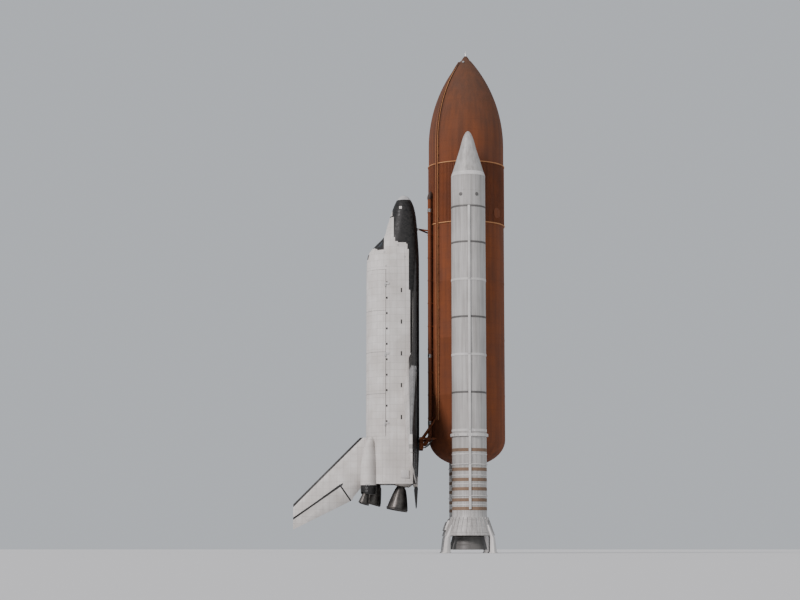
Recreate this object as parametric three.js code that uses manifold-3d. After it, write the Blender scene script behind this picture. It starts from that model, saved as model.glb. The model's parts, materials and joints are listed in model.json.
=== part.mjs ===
// A winged orbiter on its external tank with two solid-fuel boosters, as a half-scale model.
// Millimetres, +Z up. Nose points up, the orbiter is on the -Y side, its right wing points to +X.
// The origin is on the floor under the middle of the whole.
import * as THREE from "three";
import { mergeVertices } from "three/addons/utils/BufferGeometryUtils.js";
import Module from "manifold-3d";

const wasm = await Module();
wasm.setup();

// Scale and frame. Sizes below are inches of the full-size vehicle unless a name ends in _MM.
const SCALE = 0.5;
const INCH = 25.4 * SCALE;
const GAP_MM = 0.3;
const GAP = GAP_MM / INCH;
const SWING_CLEAR = 0.6; // between moving pieces, 7.6 mm on the model
const END_CLEAR = 1.7; // at the ends of an elevon, whose hinge line isn't square to the ribs
const ONE = new THREE.Vector3(1, 1, 1);
const FLOOR_STATION = 2547; // tank station of the floor under the hold-down posts
const TANK_Y_MM = 3716;
const ORBITER_STATION = 741; // tank station where orbiter station 0 lies
const BOOSTER_STATION = 543; // tank station where booster station 0 lies
const TANK_TO_ORBITER = 336.5; // tank axis to the orbiter's height line 400
const ORBITER_HEIGHT_LINE = 400;

// External tank, by tank station and radius.
const TANK = {
  radius: 165.5,
  tip: 322.5,
  spikeBase: 345,
  noseEnd: 371,
  ogiveRadius: 612,
  ogiveEnd: 763,
  oxygenEnd: 852.8,
  intertankEnd: 1123.15,
  barrelEnd: 2058,
  domeEnd: 2173,
  ribs: 36,
  ribHeight: 2.6,
  flangeRadius: 170,
  segments: 28,
};
const FORWARD_ATTACH = { station: 1130, legSpread: 47, legDrop: 16, legSink: 12, leg: 3.4, fitting: 5, depth: 9 };
const AFT_ATTACH = { station: 2058, side: 96.5, height: 262, beam: 7, fitting: 6 };
// Columns: side and distance from the tank axis of a strut's foot, tank station, strut radius.
const AFT_STRUTS = [
  { side: 84, out: 120, station: 2058, radius: 5 },
  { side: 100, out: 108, station: 1930, radius: 4.5 },
];
const AFT_BRACE = { side: 40, out: 140, radius: 4 };
const FEED_LINE = { radius: 8.5, angle: 26, top: 1010, bottom: 2040, standoff: 3 };
const PRESSURE_LINE = { radius: 3, angle: 40, top: 380, bottom: 1980, standoff: 1.2 };
const UMBILICAL = { station: 2086, side: 70, half: 13, length: 32, depth: 7 };

// Solid-fuel boosters, by booster station and radius.
const BOOSTER = {
  offset: 250.5,
  radius: 73,
  noseTip: 200,
  capEnd: 275,
  capRadius: 34,
  frustumEnd: 401,
  forwardSkirtEnd: 531.5,
  attachRing: 1511,
  motorEnd: 1834.6,
  skirtEnd: 1930.64,
  skirtRadius: 106,
  skirtWall: 3,
  pivot: 1840,
  nozzleExit: 1989.6,
  nozzleRadius: 74.8,
  segments: 18,
};
const FIELD_JOINTS = [851.5, 1171.5, 1491.5];
const STIFFENERS = [1634, 1765];
const POST_ANGLE = 35; // degrees of a hold-down post from the booster's side that faces the orbiter
const THRUST_FITTING = { top: 430, bottom: 454, half: 10 };
const TUNNEL = { half: 5, rise: 6, sink: 4, ends: [4, 12] };
// A strut between booster and tank: its foot and head sideways from the booster's axis, its radius.
const CROSS_STRUT = { foot: [44, 57], head: [110.5, 68.2], radius: 3.6 };

// Orbiter, by orbiter station (aft), side (right) and height line (up from the belly).
const FUSELAGE = {
  noseCapEnd: 262,
  cabinStart: 318,
  cabinEnd: 574,
  bayStart: 582,
  bayEnd: 1307,
  base: 1511,
  halfWidth: 105,
  sill: 417,
  wall: 5,
  bayRadius: 92,
};
const DOOR = { outer: 103.5, inner: 96.5, axisSide: 106, axisHeight: 420, barrel: 3.4 };
const DOOR_HINGES = { stations: [640, 945, 1246], length: 8, foot: 404 };
const HATCH = { station: 530, height: 368, radius: 20, axisHeight: 346.4, barrel: 1.8 };
const WING = {
  root: 105,
  insideRoot: 80,
  tip: 468.3,
  leadOffset: 836,
  trailRoot: 1525.2,
  trailSlope: 0.1772,
  bottomRoot: 283,
  dihedral: 0.0612,
  thickRoot: 58,
  thickTip: 14,
};
const GLOVE = { front: 574, kinkStation: 1010, kinkSide: 174, back: 1075, bottom: 279, thick: 19 };
const ELEVON = {
  hinge: 1387,
  rootSide: 119,
  rootHeight: 299,
  heightSlope: 0.0347,
  rootHalf: 15,
  halfSlope: 0.0257,
  spans: { inner: [119, 309], outer: [315, 465] },
};
const FLAP = { hinge: 1532, height: 287, nose: 8, end: 1613, tail: 3, halfWidth: 128, brackets: [-62, 62] };
const FIN = {
  rootHeight: 503,
  tipHeight: 818.7,
  rootStart: 1280.9,
  rootEnd: 1549.4,
  tipStart: 1596.6,
  tipEnd: 1705.1,
  rootHalf: 12,
  tipHalf: 5,
  hingeShare: 0.6,
  rudderBottom: 610,
  rudderTop: 782,
  hubShare: 0.85,
  coveShare: 1.36,
  pinReach: 5,
};

// Engines: d is the distance from the gimbal point along the engine's own axis.
const MAIN_ENGINE = {
  ball: 5,
  neck: 7,
  neckEnd: 10,
  head: 20,
  headEnd: 40,
  throat: 44,
  throatRadius: 8,
  exit: 157,
  exitRadius: 45.35,
  wall: 2.2,
  segments: 16,
};
const POD_ENGINE = {
  ball: 3,
  neck: 4,
  neckEnd: 7,
  head: 9,
  headEnd: 14,
  throat: 18,
  throatRadius: 5,
  exit: 80,
  exitRadius: 22,
  wall: 1.6,
  segments: 12,
};
const BOOSTER_ENGINE = {
  ball: 9,
  neck: 16,
  neckEnd: 14,
  head: 30,
  headEnd: 22,
  throat: 30,
  throatRadius: 28,
  exit: BOOSTER.nozzleExit - BOOSTER.pivot,
  exitRadius: BOOSTER.nozzleRadius,
  wall: 3.5,
  segments: 16,
};
// Columns: name, station, side, height, cant up and cant outward in degrees, shield radius.
const MAIN_ENGINES = [
  { name: "upper", station: 1445, side: 0, height: 443, up: 16, out: 0, shield: 68 },
  { name: "left", station: 1468.17, side: -53, height: 342.64, up: 10, out: -3.5, shield: 56 },
  { name: "right", station: 1468.17, side: 53, height: 342.64, up: 10, out: 3.5, shield: 56 },
];
const SIDES = [
  { name: "left", sign: -1 },
  { name: "right", sign: 1 },
];

const FINISHES = {
  tankFoam: { color: 0x8a4a22, roughness: 0.92, metalness: 0 },
  boosterPaint: { color: 0xd9d6cf, roughness: 0.55, metalness: 0 },
  blanket: { color: 0xdedcd6, roughness: 0.85, metalness: 0 },
  blackTile: { color: 0x1c1c1e, roughness: 0.6, metalness: 0 },
  carbon: { color: 0x55555a, roughness: 0.5, metalness: 0 },
  glass: { color: 0x101418, roughness: 0.08, metalness: 0 },
  cabin: { color: 0x6f7478, roughness: 0.7, metalness: 0 },
  bareMetal: { color: 0x9a9690, roughness: 0.35, metalness: 0.9 },
  nozzleDark: { color: 0x3a3634, roughness: 0.5, metalness: 0.6 },
};

// Geometry as a solid that can be joined and cut.
function solidOf(geometry) {
  const loose = geometry.index ? geometry.toNonIndexed() : geometry;
  loose.deleteAttribute("normal");
  loose.deleteAttribute("uv");
  const merged = mergeVertices(loose, 1e-3);
  const triVerts = new Uint32Array(merged.index.array);
  const vertProperties = merged.attributes.position.array;
  const made = new wasm.Manifold(new wasm.Mesh({ numProp: 3, vertProperties, triVerts }));
  if (made.volume() > 0) return made;
  for (let i = 0; i < triVerts.length; i += 3) {
    [triVerts[i + 1], triVerts[i + 2]] = [triVerts[i + 2], triVerts[i + 1]];
  }
  return new wasm.Manifold(new wasm.Mesh({ numProp: 3, vertProperties, triVerts }));
}

function geometryOf(solid) {
  const { vertProperties, triVerts } = solid.getMesh();
  const geometry = new THREE.BufferGeometry();
  geometry.setAttribute("position", new THREE.BufferAttribute(vertProperties, 3));
  geometry.setIndex(new THREE.BufferAttribute(triVerts, 1));
  return geometry;
}

function named(name, finish, solid) {
  const mesh = new THREE.Mesh(geometryOf(solid), new THREE.MeshStandardMaterial(FINISHES[finish]));
  mesh.name = name;
  return mesh;
}

function joined(solids) {
  return solids.reduce((whole, piece) => whole.add(piece));
}

// The largest body of a solid that a cut has left in pieces.
function largest(solid) {
  return solid.decompose().sort((a, b) => b.volume() - a.volume())[0];
}

const inches = (x, y, z) => new THREE.Vector3(x, y, z).multiplyScalar(INCH);

// A round solid about +Z. The profile lists [radius, z] in inches and starts and ends on the axis,
// or closes on itself. A phase turns its facets by that share of one facet.
function round(profile, segments, phase = 0) {
  const points = profile.map(([radius, z]) => new THREE.Vector2(radius * INCH, z * INCH));
  const geometry = new THREE.LatheGeometry(points, segments, (phase * 2 * Math.PI) / segments);
  return solidOf(geometry.rotateX(Math.PI / 2));
}

// A round solid like round(), with its +Z turned to lie along an axis from a place.
function roundAlong(profile, segments, place, axis, phase = 0) {
  const turn = new THREE.Quaternion().setFromUnitVectors(new THREE.Vector3(0, 0, 1), axis);
  return moved(round(profile, segments, phase), new THREE.Matrix4().compose(place, turn, ONE));
}

function moved(solid, matrix) {
  return solidOf(geometryOf(solid).applyMatrix4(matrix));
}

// A rod with flat ends between two places.
function rod(start, end, radius, sides = 10, endRadius = radius, phase = 0) {
  const along = end.clone().sub(start);
  const length = along.length() / INCH;
  const profile = [[0, 0], [radius, 0], [endRadius, length], [0, length]];
  return roundAlong(profile, sides, start, along.normalize(), phase);
}

// The hole for a rod: its flats clear the rod's corners by the gap at any turn.
function rodHole(start, end, radius, sides, spare, endRadius = radius, clear = GAP) {
  const along = end.clone().sub(start).normalize().multiplyScalar(spare * INCH);
  const widen = 1 / Math.cos(Math.PI / sides);
  const from = start.clone().sub(along);
  const to = end.clone().add(along);
  return rod(from, to, (radius + clear) * widen, sides, (endRadius + clear) * widen, 0.5);
}

const BALL_RINGS = 6;
const BALL_SIDES = 10;

function ball(place, radius) {
  const geometry = new THREE.SphereGeometry(radius * INCH, BALL_SIDES, BALL_RINGS);
  return solidOf(geometry.translate(place.x, place.y, place.z));
}

// The socket of a ball: its flats clear the ball's corners at any turn.
function socket(place, radius) {
  const widen = 1 / (Math.cos(Math.PI / BALL_SIDES) * Math.cos(Math.PI / (2 * (BALL_RINGS + 1))));
  const geometry = new THREE.SphereGeometry((radius + GAP) * widen * INCH, BALL_SIDES, BALL_RINGS + 1);
  geometry.rotateY(Math.PI / BALL_SIDES);
  return solidOf(geometry.translate(place.x, place.y, place.z));
}

// A box from its low and high corners in inches.
function block(low, high) {
  const size = high.map((value, i) => (value - low[i]) * INCH);
  const centre = high.map((value, i) => ((value + low[i]) / 2) * INCH);
  return solidOf(new THREE.BoxGeometry(...size).translate(...centre));
}

// A flat outline in the first two axes, carried from a low to a high third coordinate.
function slab(outline, low, high) {
  const shape = new THREE.Shape(outline.map(([x, y]) => new THREE.Vector2(x * INCH, y * INCH)));
  const geometry = new THREE.ExtrudeGeometry(shape, { depth: (high - low) * INCH, bevelEnabled: false });
  return solidOf(geometry.translate(0, 0, low * INCH));
}

// A solid through rings of equal count, with an end cap from each end ring's middle.
function loft(rings) {
  const count = rings[0].length;
  const middle = (ring) =>
    ring.reduce((sum, point) => sum.add(point), new THREE.Vector3()).divideScalar(count);
  const points = [...rings.flat(), middle(rings[0]), middle(rings.at(-1))];
  const index = [];
  const last = (rings.length - 1) * count;
  for (let i = 0; i < count; i++) {
    const next = (i + 1) % count;
    for (let base = 0; base < last; base += count) {
      index.push(base + i, base + next, base + count + next);
      index.push(base + i, base + count + next, base + count + i);
    }
    index.push(rings.length * count, next, i);
    index.push(rings.length * count + 1, last + i, last + next);
  }
  const geometry = new THREE.BufferGeometry().setFromPoints(points);
  return solidOf(geometry.setIndex(index));
}

// Turns that lay a slab's outline across the length, or along the side.
const ACROSS = new THREE.Matrix4().makeBasis(
  new THREE.Vector3(0, 1, 0),
  new THREE.Vector3(0, 0, 1),
  new THREE.Vector3(1, 0, 0),
);
const ALONG = new THREE.Matrix4().makeBasis(
  new THREE.Vector3(1, 0, 0),
  new THREE.Vector3(0, 0, 1),
  new THREE.Vector3(0, -1, 0),
);
// An outline of side and height, carried along the station.
const slabAcross = (outline, low, high) => moved(slab(outline, low, high), ACROSS);
// An outline of station and height, carried along the side.
const slabAlong = (outline, low, high) => moved(slab(outline, -high, -low), ALONG);

const radians = THREE.MathUtils.degToRad;
const mix = (low, high, share) => low + (high - low) * share;

// Heights above the floor of tank and booster stations.
const tankHeight = (station) => FLOOR_STATION - station;
const boosterHeight = (station) => FLOOR_STATION - BOOSTER_STATION - station;
// Distance from the tank axis towards the orbiter of an orbiter height line.
const orbiterSideY = (height) => -(TANK_TO_ORBITER + height - ORBITER_HEIGHT_LINE);

function tankRadiusAt(station) {
  const rise = TANK.ogiveEnd - station;
  return TANK.radius - TANK.ogiveRadius + Math.sqrt(TANK.ogiveRadius ** 2 - rise ** 2);
}

function hydrogenProfile(extra) {
  const dome = TANK.domeEnd - TANK.barrelEnd;
  const arc = [0, 15, 30, 45, 60, 75, 90].map((degrees) => {
    const turn = radians(degrees);
    return [
      (TANK.radius + extra) * Math.sin(turn),
      tankHeight(TANK.barrelEnd + (dome + extra) * Math.cos(turn)),
    ];
  });
  const top = tankHeight(TANK.intertankEnd + GAP);
  return [...arc, [TANK.radius + extra, top], [0, top]];
}

function oxygenTank() {
  const steps = 7;
  const ogive = [];
  for (let i = 0; i <= steps; i++) {
    const station = mix(TANK.ogiveEnd, TANK.noseEnd, i / steps);
    ogive.push([tankRadiusAt(station), tankHeight(station)]);
  }
  const bottom = tankHeight(TANK.oxygenEnd - GAP);
  const cone = [[12, TANK.spikeBase + 11], [5, TANK.spikeBase + 3], [2.4, TANK.spikeBase], [0.9, TANK.tip]];
  return round(
    [
      [0, bottom],
      [TANK.radius, bottom],
      ...ogive,
      ...cone.map(([radius, station]) => [radius, tankHeight(station)]),
      [0, tankHeight(TANK.tip)],
    ],
    TANK.segments,
  );
}

function intertank() {
  const outline = [];
  const pitch = (2 * Math.PI) / TANK.ribs;
  // Columns: place in one rib's pitch, height above the skin.
  const rib = [[-0.3, 0], [-0.18, TANK.ribHeight], [0.18, TANK.ribHeight], [0.3, 0]];
  for (let i = 0; i < TANK.ribs; i++) {
    for (const [share, height] of rib) {
      const turn = (i + share) * pitch;
      const radius = TANK.radius + height;
      outline.push([radius * Math.cos(turn), radius * Math.sin(turn)]);
    }
  }
  const low = tankHeight(TANK.intertankEnd);
  const high = tankHeight(TANK.oxygenEnd);
  const flange = (z) => round(
    [[0, z], [TANK.flangeRadius, z], [TANK.flangeRadius, z + 5], [0, z + 5]],
    TANK.segments,
  );
  return joined([slab(outline, low, high), flange(low), flange(high - 5)]);
}

// A place beside the tank: radius from its axis, angle from the orbiter side to the right, station.
function besideTank(radius, degrees, station) {
  const turn = radians(degrees);
  return inches(radius * Math.sin(turn), -radius * Math.cos(turn), tankHeight(station));
}

function feedLine() {
  const { radius, angle, top, bottom, standoff } = FEED_LINE;
  const out = TANK.flangeRadius + standoff + radius;
  const at = (station) => besideTank(out, angle, station);
  const plate = inches(UMBILICAL.side, orbiterSideY(AFT_ATTACH.height) + 9, tankHeight(UMBILICAL.station));
  const pieces = [
    rod(at(bottom), at(top), radius, 10),
    rod(at(top + 4), besideTank(out - 6, angle, top - 34), radius, 10, 2),
    rod(at(bottom - 6), plate, radius, 10),
  ];
  for (let station = top + 160; station < bottom; station += 200) {
    pieces.push(rod(besideTank(TANK.radius - 3, angle, station), at(station), 4, 4));
  }
  return joined(pieces).subtract(tankCut()).subtract(intertankCut());
}

function tankCut() {
  return round(hydrogenProfile(GAP), TANK.segments);
}

function intertankCut() {
  const low = tankHeight(TANK.intertankEnd + 2);
  const high = tankHeight(TANK.oxygenEnd - 2);
  const radius = TANK.flangeRadius + GAP;
  return round([[0, low], [radius, low], [radius, high], [0, high]], TANK.segments);
}

function pressureLine() {
  const { radius, angle, top, bottom, standoff } = PRESSURE_LINE;
  const out = standoff + radius + TANK.flangeRadius - TANK.radius;
  const stations = [top, 440, 510, 590, 680, TANK.ogiveEnd, bottom];
  const at = (station) => {
    const skin = station < TANK.ogiveEnd ? tankRadiusAt(station) : TANK.radius;
    return besideTank(skin + out, angle, station);
  };
  const rings = stations.map((station) =>
    [0, 60, 120, 180, 240, 300].map((degrees) => {
      const turn = radians(degrees);
      return at(station).add(inches(radius * Math.cos(turn), radius * Math.sin(turn), 0));
    }),
  );
  const pieces = [loft(rings)];
  for (let station = TANK.intertankEnd + 60; station < bottom; station += 200) {
    pieces.push(rod(besideTank(TANK.radius - 2, angle, station), at(station), 2.5, 6));
  }
  return joined(pieces).subtract(tankCut()).subtract(intertankCut());
}

function forwardAttach() {
  const { station, legSpread, legDrop, legSink, leg, fitting, depth } = FORWARD_ATTACH;
  const belly = bellyAt(station - ORBITER_STATION + fitting) - GAP;
  const apexY = orbiterSideY(belly);
  const apex = inches(0, apexY + 5, tankHeight(station));
  const pieces = [
    block(
      [-fitting, apexY, tankHeight(station) - fitting],
      [fitting, apexY + depth, tankHeight(station) + fitting],
    ),
  ];
  for (const { sign } of SIDES) {
    const foot = inches(sign * legSpread, legSink - TANK.radius, tankHeight(station + legDrop));
    pieces.push(rod(apex, foot, leg, 8));
  }
  return joined(pieces).subtract(tankCut());
}

function aftAttach() {
  const { station, side, height, beam, fitting: half } = AFT_ATTACH;
  const y = orbiterSideY(height);
  const z = tankHeight(station);
  const belly = orbiterSideY(bellyAt(station - ORBITER_STATION) - GAP);
  const pieces = [rod(inches(-side, y, z), inches(side, y, z), beam, 10)];
  for (const { sign } of SIDES) {
    const x = sign * side;
    const fitting = inches(x, y, z);
    pieces.push(block([x - half, belly, z - half], [x + half, y + half, z + half]));
    for (const strut of AFT_STRUTS) {
      const foot = inches(sign * strut.side, -strut.out, tankHeight(strut.station));
      pieces.push(rod(fitting, foot, strut.radius, 8));
    }
    const plate = sign * UMBILICAL.side;
    const low = tankHeight(UMBILICAL.station + UMBILICAL.length / 2);
    const inner = y + UMBILICAL.depth;
    pieces.push(block([plate - UMBILICAL.half, belly, low], [plate + UMBILICAL.half, inner, z + 2]));
  }
  pieces.push(rod(inches(-side, y, z), inches(AFT_BRACE.side, -AFT_BRACE.out, z), AFT_BRACE.radius, 8));
  return joined(pieces).subtract(tankCut());
}

function buildTank() {
  const group = new THREE.Group();
  group.position.set(0, TANK_Y_MM, 0);
  const attach = aftAttach();
  group.add(
    named("oxygen_tank", "tankFoam", oxygenTank()),
    named("intertank", "tankFoam", intertank()),
    named("hydrogen_tank", "tankFoam", round(hydrogenProfile(0), TANK.segments)),
    named("feed_line", "tankFoam", largest(feedLine().subtract(swollen(attach)))),
    named("pressure_line", "tankFoam", largest(pressureLine())),
    named("forward_attach", "tankFoam", forwardAttach()),
    named("aft_attach", "tankFoam", attach),
  );
  return group;
}

// A copy shifted by the gap in each of six directions and joined, to cut a neighbour clear of it.
function swollen(solid) {
  const shifts = [[1, 0, 0], [-1, 0, 0], [0, 1, 0], [0, -1, 0], [0, 0, 1], [0, 0, -1]];
  return joined([
    solid,
    ...shifts.map((shift) => solid.translate(shift.map((value) => value * GAP_MM * 1.5))),
  ]);
}

function boosterNose() {
  const base = boosterHeight(BOOSTER.frustumEnd - GAP);
  // Columns: radius, booster station.
  const cap = [[BOOSTER.capRadius, BOOSTER.capEnd], [29, 250], [20, 225], [9, 206], [0, BOOSTER.noseTip]];
  const skin = cap.map(([radius, station]) => [radius, boosterHeight(station)]);
  return round([[0, base], [BOOSTER.radius, base], ...skin], BOOSTER.segments);
}

function forwardSkirt(sign) {
  const low = boosterHeight(BOOSTER.forwardSkirtEnd - GAP);
  const high = boosterHeight(BOOSTER.frustumEnd);
  const tube = [[0, low], [BOOSTER.radius, low], [BOOSTER.radius, high], [0, high]];
  const reach = BOOSTER.offset - TANK.radius - TANK.ribHeight - GAP;
  const xs = [-sign * (BOOSTER.radius - 8), -sign * reach].sort((a, b) => a - b);
  const { top, bottom, half } = THRUST_FITTING;
  const fitting = block([xs[0], -half, boosterHeight(bottom)], [xs[1], half, boosterHeight(top)]);
  return round(tube, BOOSTER.segments).add(fitting);
}

// Rings around the motor case, from the aft end: middle station, half width, how far it stands out.
const RINGS = [
  ...FIELD_JOINTS.map((station) => ({ station, half: 5, out: 1.4 })),
  ...STIFFENERS.map((station) => ({ station, half: 1.8, out: 4 })),
  { station: BOOSTER.attachRing, half: 6, out: 7 },
].sort((a, b) => b.station - a.station);

function motor(sign) {
  const profile = [[0, boosterHeight(BOOSTER.motorEnd)], [BOOSTER.radius, boosterHeight(BOOSTER.motorEnd)]];
  for (const { station, half, out } of RINGS) {
    const low = boosterHeight(station + half);
    const high = boosterHeight(station - half);
    profile.push([BOOSTER.radius, low], [BOOSTER.radius + out, low]);
    profile.push([BOOSTER.radius + out, high], [BOOSTER.radius, high]);
  }
  const top = boosterHeight(BOOSTER.forwardSkirtEnd);
  profile.push([BOOSTER.radius, top], [0, top]);
  const ringZ = boosterHeight(BOOSTER.attachRing);
  const pieces = [round(profile, BOOSTER.segments)];
  const tunnel = [-TUNNEL.sink, TUNNEL.rise].map((rise) => sign * (BOOSTER.radius + rise)).sort((a, b) => a - b);
  const [tunnelTop, tunnelEnd] = TUNNEL.ends;
  pieces.push(
    block(
      [tunnel[0], -TUNNEL.half, boosterHeight(BOOSTER.motorEnd - tunnelEnd)],
      [tunnel[1], TUNNEL.half, top - tunnelTop],
    ),
  );
  for (const across of [-1, 1]) {
    const [foot, head] = [CROSS_STRUT.foot, CROSS_STRUT.head].map(([x, y]) => inches(-sign * x, across * y, ringZ));
    pieces.push(rod(foot, head, CROSS_STRUT.radius, 8));
  }
  const tank = tankCut().translate([-sign * BOOSTER.offset * INCH, 0, 0]);
  return joined(pieces).subtract(tank).subtract(socket(pivotPlace(), BOOSTER_ENGINE.ball));
}

const pivotPlace = () => inches(0, 0, boosterHeight(BOOSTER.pivot));
const DOWN = new THREE.Vector3(0, 0, -1);

function aftSkirt() {
  const top = boosterHeight(BOOSTER.motorEnd + GAP);
  const bottom = boosterHeight(BOOSTER.skirtEnd);
  const inner = BOOSTER.radius - BOOSTER.skirtWall;
  const shell = round(
    [
      [inner, top],
      [inner, top - 18],
      [BOOSTER.skirtRadius - BOOSTER.skirtWall, bottom],
      [BOOSTER.skirtRadius, bottom],
      [BOOSTER.radius, top - 14],
      [BOOSTER.radius, top],
      [inner, top],
    ],
    BOOSTER.segments,
  );
  // Columns: height, middle radius, width of each square ring of a post.
  const rings = [
    [0, 118, 26],
    [5, 118, 26],
    [bottom - 8, 113, 15],
    [bottom + 2, 107.5, 14],
    [bottom + 44, 91, 7],
  ];
  const posts = [POST_ANGLE, -POST_ANGLE, 180 - POST_ANGLE, 180 + POST_ANGLE].map((degrees) => {
    const square = rings.map(([z, middle, width]) =>
      [[-1, -1], [1, -1], [1, 1], [-1, 1]].map(([a, b]) =>
        inches((a * width) / 2, middle + (b * width) / 2, z),
      ),
    );
    return moved(loft(square), new THREE.Matrix4().makeRotationZ(radians(degrees)));
  });
  return joined([shell, ...posts]);
}

// The share of a ball's radius at which the two pieces that hold it stop.
const SEAT_SHARE = 0.6;
const BELL_STEPS = [0.05, 0.2, 0.5, 1];
const BELL_POWER = 0.62;

function bellRadius(engine, d) {
  const share = (d - engine.throat) / (engine.exit - engine.throat);
  return engine.throatRadius + (engine.exitRadius - engine.throatRadius) * share ** BELL_POWER;
}

// Engine with a hollow bell, from the gimbal point along its axis.
function bell(engine, place, axis) {
  const top = engine.ball * SEAT_SHARE;
  const skin = BELL_STEPS.map((share) => {
    const d = mix(engine.throat, engine.exit, share);
    return [bellRadius(engine, d), d];
  });
  const lining = skin.map(([radius, d]) => [radius - engine.wall, d]).reverse();
  const profile = [
    [0, top],
    [engine.neck, top],
    [engine.neck, engine.neckEnd],
    [engine.head, engine.neckEnd + 1],
    [engine.head, engine.headEnd],
    [engine.throatRadius, engine.throat],
    ...skin,
    ...lining,
    [0, lining.at(-1)[1]],
  ];
  return roundAlong(profile, engine.segments, place, axis).subtract(socket(place, engine.ball));
}

// The heat shield around a main engine: a disc that turns with it, under a fixed dome's opening.
// Angles are from the engine's axis, and swing is how far the disc's edge gets from it.
const SHIELD = { wall: 2, gap: 1.2, domeWall: 3, opening: 33.2, edge: 35.6, swing: 49.2 };
const MACHINERY = { radius: 27, shoulder: 31 };
const CAVITY_REACH = 2;

// Part of a spherical shell's outline, between two angles from the engine's axis.
function shellArc(radius, low, high) {
  return [0, 0.5, 1].map((share) => {
    const turn = radians(mix(low, high, share));
    return [radius * Math.sin(turn), radius * Math.cos(turn)];
  });
}

function shellRing(inner, outer, low, high) {
  const ring = [...shellArc(outer, low, high), ...shellArc(inner, low, high).reverse()];
  return [...ring, ring[0]];
}

function mainEngineParts({ station, side, height, up, out, shield }) {
  const place = inches(station, side, height);
  const axis = cantedAft(up, out);
  const near = bellRadius(MAIN_ENGINE, shield * 0.95) - MAIN_ENGINE.wall / 2;
  const start = THREE.MathUtils.radToDeg(Math.asin(near / shield));
  const disc = shellRing(shield - SHIELD.wall, shield, start, SHIELD.edge);
  const engine = bell(MAIN_ENGINE, place, axis);
  const floor = -MAIN_ENGINE.ball * SEAT_SHARE;
  const wide = shield * Math.sin(radians(SHIELD.swing)) + 1;
  const deep = (shield - SHIELD.wall) * Math.cos(radians(SHIELD.swing));
  const inside = shellArc(shield + SHIELD.gap, SHIELD.swing, SHIELD.opening);
  const mouth = inside.at(-1)[0];
  const cavity = [
    [0, floor],
    [MACHINERY.radius, floor],
    [MACHINERY.shoulder, deep - 2],
    [wide, deep - 1.5],
    ...inside,
    [mouth * CAVITY_REACH, inside.at(-1)[1] * CAVITY_REACH],
    [0, inside.at(-1)[1] * CAVITY_REACH],
  ];
  const domeInner = shield + SHIELD.gap;
  const dome = shellRing(domeInner, domeInner + SHIELD.domeWall, SHIELD.opening, SHIELD.swing);
  return {
    engine: engine.add(roundAlong(disc, MAIN_ENGINE.segments, place, axis)),
    ball: ball(place, MAIN_ENGINE.ball),
    cavity: roundAlong(cavity, MAIN_ENGINE.segments, place, axis).add(socket(place, MAIN_ENGINE.ball)),
    dome: roundAlong(dome, MAIN_ENGINE.segments, place, axis),
  };
}

// The aft direction turned up and outward by two angles in degrees.
function cantedAft(up, out) {
  return new THREE.Vector3(
    Math.cos(radians(up)) * Math.cos(radians(out)),
    Math.sin(radians(out)),
    Math.sin(radians(up)),
  ).normalize();
}

function buildBooster({ name, sign }) {
  const group = new THREE.Group();
  group.position.set(sign * BOOSTER.offset * INCH, TANK_Y_MM, 0);
  const pivot = pivotPlace();
  group.add(
    named(`${name}_booster_nose`, "boosterPaint", boosterNose()),
    named(`${name}_booster_forward_skirt`, "boosterPaint", forwardSkirt(sign)),
    named(`${name}_booster_motor`, "boosterPaint", motor(sign)),
    named(`${name}_booster_aft_skirt`, "boosterPaint", aftSkirt()),
    named(`${name}_booster_nozzle`, "nozzleDark", bell(BOOSTER_ENGINE, pivot, DOWN)),
    named(`${name}_booster_gimbal`, "bareMetal", ball(pivot, BOOSTER_ENGINE.ball)),
  );
  return group;
}

// Fuselage sections. Columns: station, half width, top, belly, widest height,
// fullness of the upper half, fullness of the lower half.
const SECTIONS = [
  [238, 3, 342, 336.5, 339.5, 2, 2],
  [241, 12, 351, 328, 339.5, 2, 2],
  [248, 23, 360, 318, 339.5, 2, 2.1],
  [262, 36, 371, 307, 339, 2, 2.3],
  [290, 51, 384, 295, 338, 2, 2.6],
  [330, 66, 398, 286.5, 340, 2.05, 3],
  [380, 80, 413, 281, 345, 2.1, 3.5],
  [424, 88, 426, 278, 350, 2.1, 4],
  [462, 94, 462, 275.5, 355, 1.9, 4.2],
  [498, 98, 492, 273.5, 365, 1.9, 4.5],
  [530, 101, 501, 272.5, 380, 1.95, 4.7],
  [582, 105, 503, 272, 400, 2.03, 5],
];
const AFT_SECTIONS = [
  [1307, 105, 503, 272, 400, 2.03, 5],
  [1400, 105, 506, 274, 400, 2.2, 5],
  [1511, 104, 510, 279, 400, 2.5, 5],
];
const SECTION_POINTS = 20;

function sectionAt(table, station) {
  const next = Math.max(1, table.findIndex((row) => row[0] >= station));
  const share = (station - table[next - 1][0]) / (table[next][0] - table[next - 1][0]);
  return table[next].map((value, i) => mix(table[next - 1][i], value, share));
}

const bellyAt = (station) => sectionAt(station > FUSELAGE.bayEnd ? AFT_SECTIONS : SECTIONS, station)[3];

// One ring of a fuselage section, drawn in by a wall thickness.
function ring([station, half, top, belly, widest, upper, lower], wall = 0) {
  const points = [];
  for (let i = 0; i < SECTION_POINTS; i++) {
    const turn = (2 * Math.PI * i) / SECTION_POINTS;
    const [side, rise] = [Math.cos(turn), Math.sin(turn)];
    const power = 2 / (rise >= 0 ? upper : lower);
    const height = rise >= 0 ? top - wall - widest : widest - belly - wall;
    points.push(
      inches(
        station,
        (half - wall) * Math.sign(side) * Math.abs(side) ** power,
        widest + height * Math.sign(rise) * Math.abs(rise) ** power,
      ),
    );
  }
  return points;
}

// The body between two stations of a table, drawn in by a wall thickness.
function hull(table, low, high, wall = 0) {
  const between = table.map((row) => row[0]).filter((station) => station > low && station < high);
  return loft([low, ...between, high].map((station) => ring(sectionAt(table, station), wall)));
}

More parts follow.
